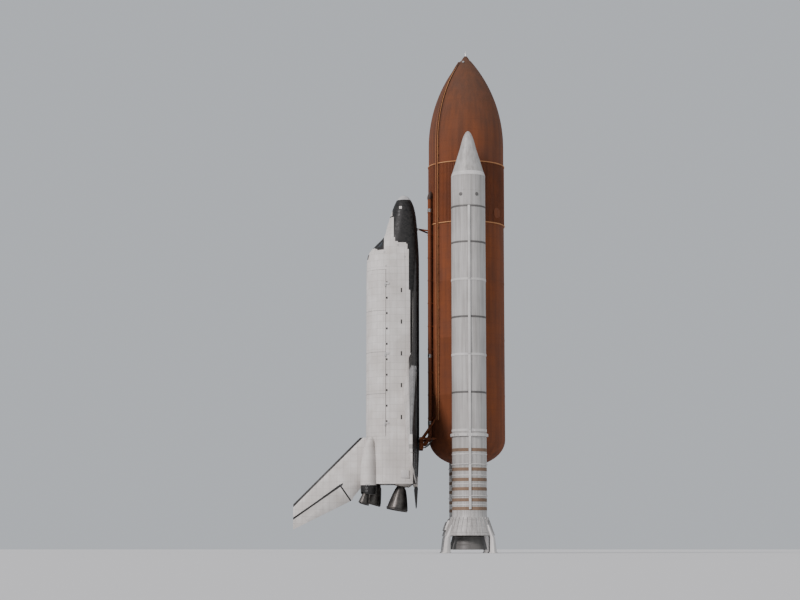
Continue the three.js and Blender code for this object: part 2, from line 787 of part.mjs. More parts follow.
// Window outlines. Front panes by side and height, side panes by station and height.
const FRONT_PANES = [
  [[2.5, 436], [31, 436], [29, 470], [2.5, 472]],
  [[35, 435], [60, 433], [52, 462], [33, 469]],
];
const SIDE_PANE = [[446, 434], [470, 433], [487, 452], [478, 462], [466, 458]];
const OVERHEAD_PANE = { stations: [506, 528], sides: [7, 27] };
const WINDSHIELD = { front: 432, back: 536, bottom: 431, thick: 1.6 };

function windowCuts() {
  const { stations, sides } = OVERHEAD_PANE;
  const cuts = [];
  for (const { sign } of SIDES) {
    for (const pane of FRONT_PANES) {
      cuts.push(slabAcross(pane.map(([side, height]) => [sign * side, height]), 425, 500));
    }
    const ys = [sign * 56, sign * 120].sort((a, b) => a - b);
    cuts.push(slabAlong(SIDE_PANE, ys[0], ys[1]));
    const xs = [sign * sides[0], sign * sides[1]].sort((a, b) => a - b);
    cuts.push(block([stations[0], xs[0], 470], [stations[1], xs[1], 520]));
  }
  return joined(cuts);
}

function cabinHollow(wall) {
  return hull(SECTIONS, FUSELAGE.cabinStart, FUSELAGE.cabinEnd, wall);
}

const PIN_SHARE = 0.42; // of a hinge barrel's radius

// A hinge barrel about an axis along the station, with the hole or pin that joins it to its pair.
function hinge(axisSide, axisHeight, start, length, barrel) {
  const at = (station) => inches(station, axisSide, axisHeight);
  const pin = barrel * PIN_SHARE;
  const gap = 0.5;
  const middle = start + length;
  return {
    female: rod(at(start), at(middle), barrel, 8).subtract(
      rodHole(at(start), at(middle), pin, 10, 1),
    ),
    male: rod(at(middle + gap), at(middle + gap + length), barrel, 8).add(
      rod(at(start + 1), at(middle + gap + 1), pin, 10),
    ),
    maleStart: middle + gap,
  };
}

function hatchParts(shell) {
  const { station, height, radius, axisHeight, barrel } = HATCH;
  const [start, end] = [inches(station, -120, height), inches(station, -90, height)];
  const opening = rod(start, end, radius + 0.45, 16);
  const disc = shell.intersect(rod(start, end, radius, 16));
  const axisSide = -FUSELAGE.halfWidth + 1.2;
  let hatch = disc;
  let lugs = null;
  for (const [low, length] of [[station - 8, 3.5], [station + 1, 3.5]]) {
    const made = hinge(axisSide, axisHeight, low, length, barrel);
    const arm = block(
      [made.maleStart, axisSide - 1.4, axisHeight],
      [made.maleStart + length, axisSide + 5, axisHeight + 6],
    );
    const foot = block([low, axisSide - 1.2, axisHeight - 6], [low + length, axisSide + 5, axisHeight]);
    hatch = hatch.add(made.male).add(arm);
    const lug = made.female.add(foot.subtract(rodHole(
      inches(low, axisSide, axisHeight), inches(low + length, axisSide, axisHeight), barrel * PIN_SHARE, 10, 1,
    )));
    lugs = lugs ? lugs.add(lug) : lug;
  }
  return { opening, hatch, lugs };
}

function forwardParts() {
  const whole = hull(SECTIONS, SECTIONS[0][0], FUSELAGE.bayStart - GAP);
  const front = block([200, -200, 200], [FUSELAGE.noseCapEnd, 200, 600]);
  const behind = block([FUSELAGE.noseCapEnd + GAP, -200, 200], [700, 200, 600]);
  const shell = whole.intersect(behind).subtract(cabinHollow(FUSELAGE.wall));
  const { opening, hatch, lugs } = hatchParts(shell);
  const clearing = block([HATCH.station - 8.5, -112, 344.4], [HATCH.station + 9.2, -97, 353]);
  const body = shell.subtract(windowCuts()).subtract(opening).subtract(clearing).add(lugs);
  const frame = block([WINDSHIELD.front, -200, WINDSHIELD.bottom], [WINDSHIELD.back, 200, 600]);
  const glass = cabinHollow(FUSELAGE.wall + GAP)
    .subtract(hull(SECTIONS, FUSELAGE.cabinStart - 2, FUSELAGE.cabinEnd + 2, FUSELAGE.wall + WINDSHIELD.thick))
    .intersect(frame);
  const floor = cabinHollow(FUSELAGE.wall + GAP).intersect(block([396, -200, 404], [573, 200, 409]));
  const furniture = [block([436, -34, 408], [447, 34, 420])];
  for (const { sign } of SIDES) {
    const ys = [sign * 12, sign * 32].sort((a, b) => a - b);
    furniture.push(block([478, ys[0], 408], [496, ys[1], 420]));
    furniture.push(block([493, ys[0], 408], [498, ys[1], 444]));
  }
  return {
    nose_cap: whole.intersect(front),
    forward_fuselage: body,
    side_hatch: hatch,
    windshield_glass: glass,
    flight_deck: joined([floor, ...furniture]),
  };
}

function middleFuselage() {
  const { halfWidth, sill, bayRadius, bayStart, bayEnd } = FUSELAGE;
  const [, , , belly, widest, , lower] = SECTIONS.at(-1);
  const outline = [[-halfWidth + 1.2, sill]];
  for (let i = 0; i <= SECTION_POINTS / 2; i++) {
    const turn = Math.PI + (2 * Math.PI * i) / SECTION_POINTS;
    const [side, rise] = [Math.cos(turn), -Math.sin(turn)];
    outline.push([
      halfWidth * Math.sign(side) * Math.abs(side) ** (2 / lower),
      widest - (widest - belly) * Math.abs(rise) ** (2 / lower),
    ]);
  }
  outline.push([halfWidth - 1.2, sill]);
  for (let degrees = 0; degrees >= -180; degrees -= 20) {
    const turn = radians(degrees);
    outline.push([bayRadius * Math.cos(turn), ORBITER_HEIGHT_LINE + bayRadius * Math.sin(turn)]);
    if (degrees === 0) outline.splice(-1, 0, [bayRadius - 1.5, sill]);
  }
  outline.push([-bayRadius + 1.5, sill]);
  let body = slabAcross(outline, bayStart, bayEnd);
  for (const { sign } of SIDES) {
    const axisSide = sign * DOOR.axisSide;
    for (const station of DOOR_HINGES.stations) {
      const end = station + DOOR_HINGES.length;
      const { female } = hinge(axisSide, DOOR.axisHeight, station, DOOR_HINGES.length, DOOR.barrel);
      const sides = [axisSide - sign * 3.2, axisSide + sign * 1.5].sort((a, b) => a - b);
      const foot = block([station, sides[0], DOOR_HINGES.foot], [end, sides[1], DOOR.axisHeight]);
      const [from, to] = [station, end].map((s) => inches(s, axisSide, DOOR.axisHeight));
      body = body.add(foot.subtract(rodHole(from, to, DOOR.barrel * PIN_SHARE, 10, 1))).add(female);
    }
  }
  return body;
}

function bayDoor(sign) {
  const { outer, inner, axisSide, axisHeight, barrel } = DOOR;
  const bottom = Math.asin((FUSELAGE.sill + SWING_CLEAR - ORBITER_HEIGHT_LINE) / inner);
  const top = Math.acos(0.3 / outer);
  const steps = 6;
  const arc = (radius) => {
    const points = [];
    for (let i = 0; i <= steps; i++) {
      const turn = mix(bottom, top, i / steps);
      points.push([sign * radius * Math.cos(turn), ORBITER_HEIGHT_LINE + radius * Math.sin(turn)]);
    }
    return points;
  };
  const outline = [...arc(outer), ...arc(inner).reverse()];
  let door = slabAcross(outline, FUSELAGE.bayStart + SWING_CLEAR, FUSELAGE.bayEnd - SWING_CLEAR);
  for (const station of DOOR_HINGES.stations) {
    const { male, maleStart } = hinge(sign * axisSide, axisHeight, station, DOOR_HINGES.length, barrel);
    const sides = [sign * (axisSide - 7), sign * axisSide].sort((a, b) => a - b);
    const armEnd = maleStart + DOOR_HINGES.length;
    const arm = block([maleStart, sides[0], axisHeight - 2], [armEnd, sides[1], axisHeight + 3]);
    door = door.add(male).add(arm);
  }
  return door;
}

function aftFuselage() {
  const { bayEnd, base, halfWidth } = FUSELAGE;
  let body = hull(AFT_SECTIONS, bayEnd + GAP, base);
  const parts = MAIN_ENGINES.map(mainEngineParts);
  for (const { dome } of parts) body = body.add(dome);
  for (const { cavity } of parts) body = body.subtract(cavity);
  const shelf = FLAP.hinge - FLAP.nose - SWING_CLEAR - 1;
  const stub = slabAlong([[1480, 279.3], [shelf, 279.3], [shelf, 296], [1500, 304], [1480, 304]], -78, 78);
  body = body.add(stub);
  for (const side of FLAP.brackets) {
    body = body.add(flapBracket(side));
  }
  return body;
}

const BRACKET = { half: 3, clear: 0.6, pin: 1.5 };

// A bracket that reaches back from fixed structure to a hinge axis, with a round end and a pin hole.
function bracket(place, along, forward, reach, barrel) {
  const half = along.clone().multiplyScalar(BRACKET.half * INCH);
  const [start, end] = [place.clone().sub(half), place.clone().add(half)];
  const tip = place.clone().add(forward.clone().multiplyScalar(reach * INCH));
  const turn = new THREE.Matrix4().makeBasis(forward, along, forward.clone().cross(along));
  const plate = new THREE.BoxGeometry(reach * INCH, 2 * BRACKET.half * INCH, 2 * barrel * 0.96 * INCH);
  const middle = place.clone().add(tip).multiplyScalar(0.5);
  plate.applyMatrix4(turn.setPosition(middle));
  return rod(start, end, barrel, 8).add(solidOf(plate)).subtract(rodHole(start, end, BRACKET.pin, 8, 1));
}

// The slot in a moving nose that a bracket stands in, and the pin that crosses it.
function bracketSlot(place, along, nose) {
  const half = along.clone().multiplyScalar((BRACKET.half + BRACKET.clear) * INCH);
  const long = along.clone().multiplyScalar((BRACKET.half + BRACKET.clear + 1.5) * INCH);
  return {
    slot: rod(place.clone().sub(half), place.clone().add(half), nose + 1, 10),
    pin: rod(place.clone().sub(long), place.clone().add(long), BRACKET.pin, 8),
  };
}

const SIDE_AXIS = new THREE.Vector3(0, 1, 0);
const FORWARD = new THREE.Vector3(-1, 0, 0);

function flapBracket(side) {
  return bracket(inches(FLAP.hinge, side, FLAP.height), SIDE_AXIS, FORWARD, FLAP.nose + 6, 3.5);
}

function bodyFlap() {
  const { hinge: station, height, nose, end, tail, halfWidth, brackets } = FLAP;
  const plan = [[station, height - nose], [end, height - 3], [end, height - 3 + tail], [station, height + nose]];
  let flap = slabAlong(plan, -halfWidth, halfWidth);
  flap = flap.add(
    rod(inches(station, -halfWidth, height), inches(station, halfWidth, height), nose, 16, nose, 0.5),
  );
  for (const side of brackets) {
    const { slot, pin } = bracketSlot(inches(station, side, height), SIDE_AXIS, nose);
    flap = flap.subtract(slot).add(pin);
  }
  return flap;
}

// Wing section. Columns: share of the chord, height share of the upper and of the lower skin.
const AIRFOIL = [
  [0, 0.26, 0.22],
  [0.012, 0.4, 0.1],
  [0.05, 0.6, 0.01],
  [0.14, 0.84, 0],
  [0.32, 1, 0],
  [0.55, 0.88, 0],
  [0.78, 0.54, 0],
  [1, 0.14, 0.03],
];

function airfoilRing(side, lead, trail, bottom, thick) {
  const at = (share, height) => inches(mix(lead, trail, share), side, bottom + thick * height);
  const upper = AIRFOIL.map(([share, high]) => at(share, high));
  const lower = AIRFOIL.map(([share, , low]) => at(share, low)).reverse();
  return [...upper, ...lower];
}

function wingAt(side) {
  const share = (side - WING.root) / (WING.tip - WING.root);
  return {
    lead: WING.leadOffset + side,
    trail: WING.trailRoot - WING.trailSlope * side,
    bottom: WING.bottomRoot + WING.dihedral * (side - WING.root),
    thick: mix(WING.thickRoot, WING.thickTip, share),
  };
}

// The fuselage beside the wings, wider by a little more than the gap.
function fuselageCut() {
  const wall = -1.6 * GAP;
  return hull(SECTIONS, 450, FUSELAGE.bayStart - GAP, wall)
    .add(hull(AFT_SECTIONS, FUSELAGE.bayEnd, FUSELAGE.base + 4, wall))
    .add(loft([FUSELAGE.bayStart - 1, FUSELAGE.bayEnd + 1].map((station) => (
      ring([station, ...SECTIONS.at(-1).slice(1)], wall)
    ))));
}

function wholeWing(sign) {
  const root = WING.insideRoot;
  const rings = [root, WING.tip].map((side) => {
    const { lead, trail, bottom, thick } = wingAt(side);
    return airfoilRing(sign * side, lead, trail, bottom, thick);
  });
  const gloveRings = [
    airfoilRing(sign * root, GLOVE.front - 90, GLOVE.back + 120, GLOVE.bottom + 3, GLOVE.thick),
    airfoilRing(sign * GLOVE.kinkSide, GLOVE.kinkStation, GLOVE.back, GLOVE.bottom + 7, GLOVE.thick),
  ];
  return loft(rings).add(loft(gloveRings)).subtract(fuselageCut());
}

const hingeHeight = (side) => ELEVON.rootHeight + ELEVON.heightSlope * (side - ELEVON.rootSide);
const hingeHalf = (side) => ELEVON.rootHalf - ELEVON.halfSlope * (side - ELEVON.rootSide);
const elevonPlace = (sign, side) => inches(ELEVON.hinge, sign * side, hingeHeight(side));

// Plan strip behind the leading edge. Columns: side, station of its back.
const EDGE_STRIP = [
  [WING.insideRoot, GLOVE.front - 20],
  [WING.root, GLOVE.front + 120],
  [GLOVE.kinkSide - 4, GLOVE.kinkStation + 22],
  [WING.tip + 2, WING.leadOffset + WING.tip + 18],
];

function edgeStrip(sign, extra) {
  const back = EDGE_STRIP.map(([side, station]) => [station + extra, sign * side]);
  const front = [[1320, sign * (WING.tip + 2)], [400, sign * (WING.tip + 2)], [400, sign * WING.insideRoot]];
  return slab([...back, ...front], 200, 500);
}

function wingParts(sign) {
  const whole = wholeWing(sign);
  const edge = whole.intersect(edgeStrip(sign, 0));
  let wing = whole.subtract(edgeStrip(sign, GAP));
  const along = elevonPlace(sign, ELEVON.spans.outer[1]).sub(elevonPlace(sign, ELEVON.spans.inner[0])).normalize();
  const elevons = {};
  for (const [name, [low, high]] of Object.entries(ELEVON.spans)) {
    const [from, to] = [elevonPlace(sign, low), elevonPlace(sign, high)];
    const boxSides = (extra) => [sign * (low + extra), sign * (high - extra)].sort((a, b) => a - b);
    const outside = boxSides(0);
    const cove = rodHole(from, to, hingeHalf(low), 12, 0, hingeHalf(high), SWING_CLEAR);
    wing = wing.subtract(cove).subtract(block([ELEVON.hinge, outside[0], 200], [1600, outside[1], 400]));
    const inside = boxSides(END_CLEAR);
    const tail = whole.intersect(block([ELEVON.hinge, inside[0], 200], [1600, inside[1], 400]));
    const near = elevonPlace(sign, low + END_CLEAR);
    const far = elevonPlace(sign, high - END_CLEAR);
    let elevon = tail.add(rod(near, far, hingeHalf(low), 12, hingeHalf(high), 0.5));
    for (const share of [0.2, 0.8]) {
      const side = mix(low, high, share);
      const place = elevonPlace(sign, side);
      const nose = hingeHalf(side) + 1;
      const { slot, pin } = bracketSlot(place, along, nose);
      elevon = elevon.subtract(slot).add(pin);
      wing = wing.add(bracket(place, along, FORWARD, nose + 5, Math.min(3.5, hingeHalf(side) * 0.5)));
    }
    elevons[name] = elevon;
  }
  const ribs = [[ELEVON.spans.inner[1], ELEVON.spans.outer[0]], [ELEVON.spans.outer[1], WING.tip + 1]];
  for (const [low, high] of ribs) {
    const sides = [sign * (low - 0.1), sign * (high + 0.1)].sort((a, b) => a - b);
    wing = wing.subtract(block([ELEVON.hinge + 6, sides[0], 200], [1600, sides[1], 400]));
  }
  return { wing, edge, elevons };
}

// Fin section. Columns: share of the chord, share of the greatest half thickness.
const FIN_SECTION = [[0, 0.04], [0.03, 0.26], [0.15, 0.6], [0.38, 0.9], [0.6, 1], [1, 0.12]];

function finAt(height) {
  const share = (height - FIN.rootHeight) / (FIN.tipHeight - FIN.rootHeight);
  return {
    lead: mix(FIN.rootStart, FIN.tipStart, share),
    trail: mix(FIN.rootEnd, FIN.tipEnd, share),
    half: mix(FIN.rootHalf, FIN.tipHalf, share),
  };
}

function finPlace(height) {
  const { lead, trail } = finAt(height);
  return inches(mix(lead, trail, FIN.hingeShare), 0, height);
}

// What the upper main engine sweeps under the foot of the fin, by station and height.
const ENGINE_SWING = [
  [1510.5, 470],
  [1510.5, 512],
  [1512, 515],
  [1528, 528],
  [1544, 541],
  [1566, 559],
  [1578, 563],
  [1720, 563],
  [1720, 470],
];

function wholeFin() {
  const rings = [FIN.rootHeight - 14, FIN.tipHeight].map((height) => {
    const { lead, trail, half } = finAt(height);
    const at = (share, side) => inches(mix(lead, trail, share), side * half, height);
    const right = FIN_SECTION.map(([share, side]) => at(share, side));
    const left = FIN_SECTION.map(([share, side]) => at(share, -side)).reverse();
    return [...right, ...left];
  });
  return loft(rings);
}

function rudderParts() {
  const whole = wholeFin();
  const [low, high] = [finPlace(FIN.rudderBottom), finPlace(FIN.rudderTop)];
  const along = high.clone().sub(low).normalize();
  const at = (share) => low.clone().lerp(high, share);
  const halves = [finAt(FIN.rudderBottom).half, finAt(FIN.rudderTop).half];
  const hubs = halves.map((half) => half * FIN.hubShare);
  const coves = halves.map((half) => half * FIN.coveShare);
  const span = high.clone().sub(low).length() / INCH;
  const clearEnd = SWING_CLEAR / span;
  // A wide box square to the hinge line, behind it and between two shares of its length.
  const behind = (from, to) => {
    const aft = new THREE.Vector3().crossVectors(SIDE_AXIS, along);
    const turn = new THREE.Matrix4().makeBasis(aft, SIDE_AXIS, along);
    const length = (to - from) * span * INCH;
    const depth = 200 * INCH;
    const box = new THREE.BoxGeometry(depth, 60 * INCH, length);
    const middle = at((from + to) / 2).add(aft.multiplyScalar(depth / 2));
    return solidOf(box.applyMatrix4(turn.setPosition(middle)));
  };
  const cove = rod(at(0), at(1), coves[0], 14, coves[1], 0.5);
  const pinReach = along.clone().multiplyScalar(FIN.pinReach * INCH);
  const pinStart = at(0).sub(pinReach);
  const pinEnd = at(1).add(pinReach);
  const fin = whole
    .subtract(block([1200, -30, 400], [FUSELAGE.bayEnd + 1, 30, 560]))
    .subtract(slabAlong(ENGINE_SWING, -30, 30))
    .subtract(behind(0, 1))
    .subtract(cove)
    .subtract(rodHole(pinStart, pinEnd, BRACKET.pin, 10, 0.6));
  const hub = rod(at(clearEnd), at(1 - clearEnd), hubs[0], 14, hubs[1]).add(rod(pinStart, pinEnd, BRACKET.pin, 10));
  const hubHole = rodHole(at(0), at(1), hubs[0], 14, 0, hubs[1]);
  const blade = whole.intersect(behind(clearEnd, 1 - clearEnd)).subtract(hubHole);
  const panels = {};
  for (const { name, sign } of SIDES) {
    const sides = [sign * 0.25, sign * 40].sort((a, b) => a - b);
    panels[name] = blade.intersect(block([1300, sides[0], 400], [1900, sides[1], 900]));
  }
  return { fin, hub, panels };
}

// Manoeuvring pod sections. Columns: station, side, height, half width, half height.
const POD_SECTIONS = [
  [1296, 74, 478, 5, 4],
  [1318, 74, 483, 18, 15],
  [1352, 74, 488, 28, 25],
  [1400, 75, 491, 34, 31],
  [1470, 78, 492, 36, 34],
  [1530, 84, 492, 34, 34],
  [1556, 88, 492, 30, 31],
];
const POD_CAVITY = [[0, 0], [13, 0], [14, 8], [22.5, 38], [29, 60], [0, 60]];

function podEngine(sign) {
  const place = inches(1518, sign * 88, 492);
  const axis = cantedAft(15.8, sign * 6.5);
  const floor = -POD_ENGINE.ball * SEAT_SHARE;
  const cavity = POD_CAVITY.map(([radius, d]) => [radius, d === 0 ? floor : d]);
  return {
    engine: bell(POD_ENGINE, place, axis),
    ball: ball(place, POD_ENGINE.ball),
    cavity: roundAlong(cavity, POD_ENGINE.segments, place, axis).add(socket(place, POD_ENGINE.ball)),
  };
}

// What the upper main engine's bell sweeps beside a pod: the bell, wider by a clearance, turned fully
// to that side in steps of its pitch.
const SWEEP = { pitches: [-10.5, -5.25, 0, 5.25, 10.5], yaw: 8.5, clear: 1.4 };

function upperEngineSweep(sign) {
  const { station, side, height, up } = MAIN_ENGINES[0];
  const skin = [0, 0.1, 0.3, 0.6, 1].map((share) => {
    const d = mix(MAIN_ENGINE.throat, MAIN_ENGINE.exit, share);
    return [bellRadius(MAIN_ENGINE, d) + SWEEP.clear, d];
  });
  const profile = [[0, MAIN_ENGINE.throat], ...skin, [0, MAIN_ENGINE.exit]];
  return joined(SWEEP.pitches.map((pitch) => (
    roundAlong(profile, MAIN_ENGINE.segments, inches(station, side, height), cantedAft(up + pitch, sign * SWEEP.yaw))
  )));
}

const POD_POINTS = 12;

function pod(sign, neighbours) {
  const rings = POD_SECTIONS.map(([station, side, height, half, rise]) => {
    const points = [];
    for (let i = 0; i < POD_POINTS; i++) {
      const turn = (2 * Math.PI * i) / POD_POINTS;
      points.push(inches(station, sign * side + half * Math.cos(turn), height + rise * Math.sin(turn)));
    }
    return points;
  });
  const whole = neighbours.reduce((rest, piece) => rest.subtract(piece), loft(rings));
  return largest(whole.subtract(podEngine(sign).cavity));
}

function buildOrbiter() {
  const group = new THREE.Group();
  const axes = [new THREE.Vector3(0, 0, -1), new THREE.Vector3(1, 0, 0), new THREE.Vector3(0, -1, 0)];
  group.setRotationFromMatrix(new THREE.Matrix4().makeBasis(...axes));
  group.position.set(
    0,
    TANK_Y_MM + orbiterSideY(0) * INCH,
    tankHeight(ORBITER_STATION) * INCH,
  );
  const forward = forwardParts();
  const finishes = {
    nose_cap: "carbon",
    forward_fuselage: "blanket",
    side_hatch: "blanket",
    windshield_glass: "glass",
    flight_deck: "cabin",
  };
  for (const [name, solid] of Object.entries(forward)) group.add(named(name, finishes[name], solid));
  group.add(named("middle_fuselage", "blanket", middleFuselage()));
  const aft = aftFuselage();
  const aftCut = hull(AFT_SECTIONS, FUSELAGE.bayEnd - 40, FUSELAGE.base + GAP, -1.6 * GAP);
  const { fin, hub, panels } = rudderParts();
  group.add(named("aft_fuselage", "blanket", aft));
  group.add(named("body_flap", "blackTile", bodyFlap()));
  group.add(named("vertical_fin", "blanket", largest(fin.subtract(aftCut))));
  group.add(named("rudder_hub", "bareMetal", hub));
  for (const spec of MAIN_ENGINES) {
    const { engine, ball: gimbal } = mainEngineParts(spec);
    group.add(named(`${spec.name}_main_engine`, "nozzleDark", engine));
    group.add(named(`${spec.name}_main_gimbal`, "bareMetal", gimbal));
  }
  for (const { name, sign } of SIDES) {
    const { wing, edge, elevons } = wingParts(sign);
    const { engine, ball: gimbal } = podEngine(sign);
    group.add(named(`${name}_bay_door`, "blanket", bayDoor(sign)));
    group.add(named(`${name}_wing`, "blanket", wing));
    group.add(named(`${name}_wing_edge`, "carbon", edge));
    group.add(named(`${name}_inner_elevon`, "blanket", elevons.inner));
    group.add(named(`${name}_outer_elevon`, "blanket", elevons.outer));
    group.add(named(`${name}_rudder_panel`, "blanket", panels[name]));
    group.add(named(`${name}_pod`, "blanket", pod(sign, [aftCut, podFinCut(), upperEngineSweep(sign)])));
    group.add(named(`${name}_pod_engine`, "nozzleDark", engine));
    group.add(named(`${name}_pod_gimbal`, "bareMetal", gimbal));
  }
  return group;
}

// The space between the pods that the foot of the fin and the open bay doors need.
function podFinCut() {
  return block([1270, -30, 470], [1620, 30, 560]).add(block([1250, -130, 400], [1307.5, 130, 560]));
}

const stack = new THREE.Group();
stack.add(buildTank());
for (const side of SIDES) stack.add(buildBooster(side));
stack.add(buildOrbiter());

export default stack;
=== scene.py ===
"""Looks of a half-scale launch stack: winged orbiter, external tank and two solid-fuel boosters.

Lengths in the classes are inches of the full-size vehicle, and the Place class turns them into metres
of the half-scale model. Each sub-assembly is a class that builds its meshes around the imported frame.
"""
import json
import logging
import math
from collections.abc import Callable, Sequence
from dataclasses import dataclass, field
from enum import Enum
from functools import reduce

import bmesh
import bpy
from mathutils import Matrix, Vector

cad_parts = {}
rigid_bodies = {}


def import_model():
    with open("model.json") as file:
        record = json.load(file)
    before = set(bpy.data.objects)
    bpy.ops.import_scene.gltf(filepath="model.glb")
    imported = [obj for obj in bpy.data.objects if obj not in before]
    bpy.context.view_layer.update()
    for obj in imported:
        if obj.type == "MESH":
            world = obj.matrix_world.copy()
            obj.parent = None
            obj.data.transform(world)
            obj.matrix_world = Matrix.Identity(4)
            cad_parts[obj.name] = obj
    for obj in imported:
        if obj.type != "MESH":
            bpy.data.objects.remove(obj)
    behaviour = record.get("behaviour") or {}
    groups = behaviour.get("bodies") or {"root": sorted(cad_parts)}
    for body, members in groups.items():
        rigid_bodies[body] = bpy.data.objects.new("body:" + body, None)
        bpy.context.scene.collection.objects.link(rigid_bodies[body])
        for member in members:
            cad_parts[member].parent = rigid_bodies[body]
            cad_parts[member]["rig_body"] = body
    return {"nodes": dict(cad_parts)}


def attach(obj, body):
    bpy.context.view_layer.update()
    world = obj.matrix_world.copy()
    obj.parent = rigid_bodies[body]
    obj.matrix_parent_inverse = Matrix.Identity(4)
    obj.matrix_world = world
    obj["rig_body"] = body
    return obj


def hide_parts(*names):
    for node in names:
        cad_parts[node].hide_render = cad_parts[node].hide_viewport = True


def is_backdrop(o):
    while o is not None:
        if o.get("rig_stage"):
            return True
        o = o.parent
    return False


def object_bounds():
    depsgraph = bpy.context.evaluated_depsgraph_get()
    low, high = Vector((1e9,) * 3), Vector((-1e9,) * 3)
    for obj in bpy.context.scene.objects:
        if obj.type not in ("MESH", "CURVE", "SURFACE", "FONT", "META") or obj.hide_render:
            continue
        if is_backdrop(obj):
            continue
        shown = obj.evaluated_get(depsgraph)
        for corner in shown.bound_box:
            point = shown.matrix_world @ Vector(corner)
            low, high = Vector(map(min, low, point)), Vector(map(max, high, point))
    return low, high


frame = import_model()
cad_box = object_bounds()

log = logging.getLogger("stack")

INCH = 0.0127
TANK_Y = 3.716
FLOOR_STATION = 2547.0
ORBITER_STATION = 741.0
BOOSTER_STATION = 543.0
BOOSTER_OFFSET = 250.5
HEIGHT_LINE = 400.0
TANK_TO_LINE = 336.5
SMOOTH_ANGLE = math.radians(32.0)
# Least radius of a ring, and the share of a rod's radius that its ends are rounded by.
POLE_RADIUS = 0.01
ROD_ROUNDING = 0.12
# Gap in inches between pieces that touch.
CONTACT_GAP = 0.03
# How many times steeper than its chord a smooth curve through a table may be.
STEEPEST = 2.6
UP = Vector((0.0, 0.0, 1.0))
DOWN = Vector((0.0, 0.0, -1.0))

Pair = tuple[float, float]
Point = tuple[float, float, float]
Row = tuple[float, ...]
Ring = list[Vector]
Piece = bpy.types.Object
Socket = bpy.types.NodeSocket
Colour = tuple[float, float, float, float]


def span(low: float, high: float, steps: int) -> list[float]:
    """Even values from low to high, both included."""
    return [low + (high - low) * i / steps for i in range(steps + 1)]


def circle(middle: Vector, first: Vector, second: Vector, radius: float, steps: int) -> Ring:
    """Places round a circle of a radius in inches, in the plane of two directions."""
    turns = [2 * math.pi * i / steps for i in range(steps)]
    return [middle + (first * math.cos(turn) + second * math.sin(turn)) * (radius * INCH) for turn in turns]


def arc_places(radius: float, low: float, high: float, steps: int) -> list[Pair]:
    """Sine and cosine lengths of places on an arc between two angles in degrees."""
    turns = [math.radians(degrees) for degrees in span(low, high, steps)]
    return [(radius * math.sin(turn), radius * math.cos(turn)) for turn in turns]


class Side(Enum):
    """Which side of the stack a piece is on, with the sign of its X."""

    LEFT = -1
    RIGHT = 1

    @property
    def label(self) -> str:
        """The side's name as the frame's nodes write it."""
        return self.name.lower()


class Place:
    """Turns stations of the vehicle's parts into places of the frame, in metres."""

    @staticmethod
    def stack(x: float, y: float, station: float) -> Vector:
        """A place by inches to the right of the tank's axis and behind it, and a tank station."""
        return Vector((x * INCH, TANK_Y + y * INCH, (FLOOR_STATION - station) * INCH))

    @staticmethod
    def tank(radius: float, degrees: float, station: float) -> Vector:
        """A place about the tank's axis, at an angle from the orbiter side towards the right."""
        turn = math.radians(degrees)
        return Place.stack(radius * math.sin(turn), -radius * math.cos(turn), station)

    @staticmethod
    def booster(side: Side, x: float, y: float, station: float) -> Vector:
        """A place about a booster's axis, with x and y in inches from it and a booster station."""
        return Place.stack(side.value * BOOSTER_OFFSET + x, y, BOOSTER_STATION + station)

    @staticmethod
    def orbiter(station: float, side: float, height: float) -> Vector:
        """A place on the orbiter by its station, side to the right and height line."""
        return Place.stack(side, HEIGHT_LINE - TANK_TO_LINE - height, ORBITER_STATION + station)

    @staticmethod
    def aim(station: float, side: float, height: float) -> Vector:
        """The direction in the frame of a direction given in orbiter axes."""
        return Vector((side, -height, -station)).normalized()


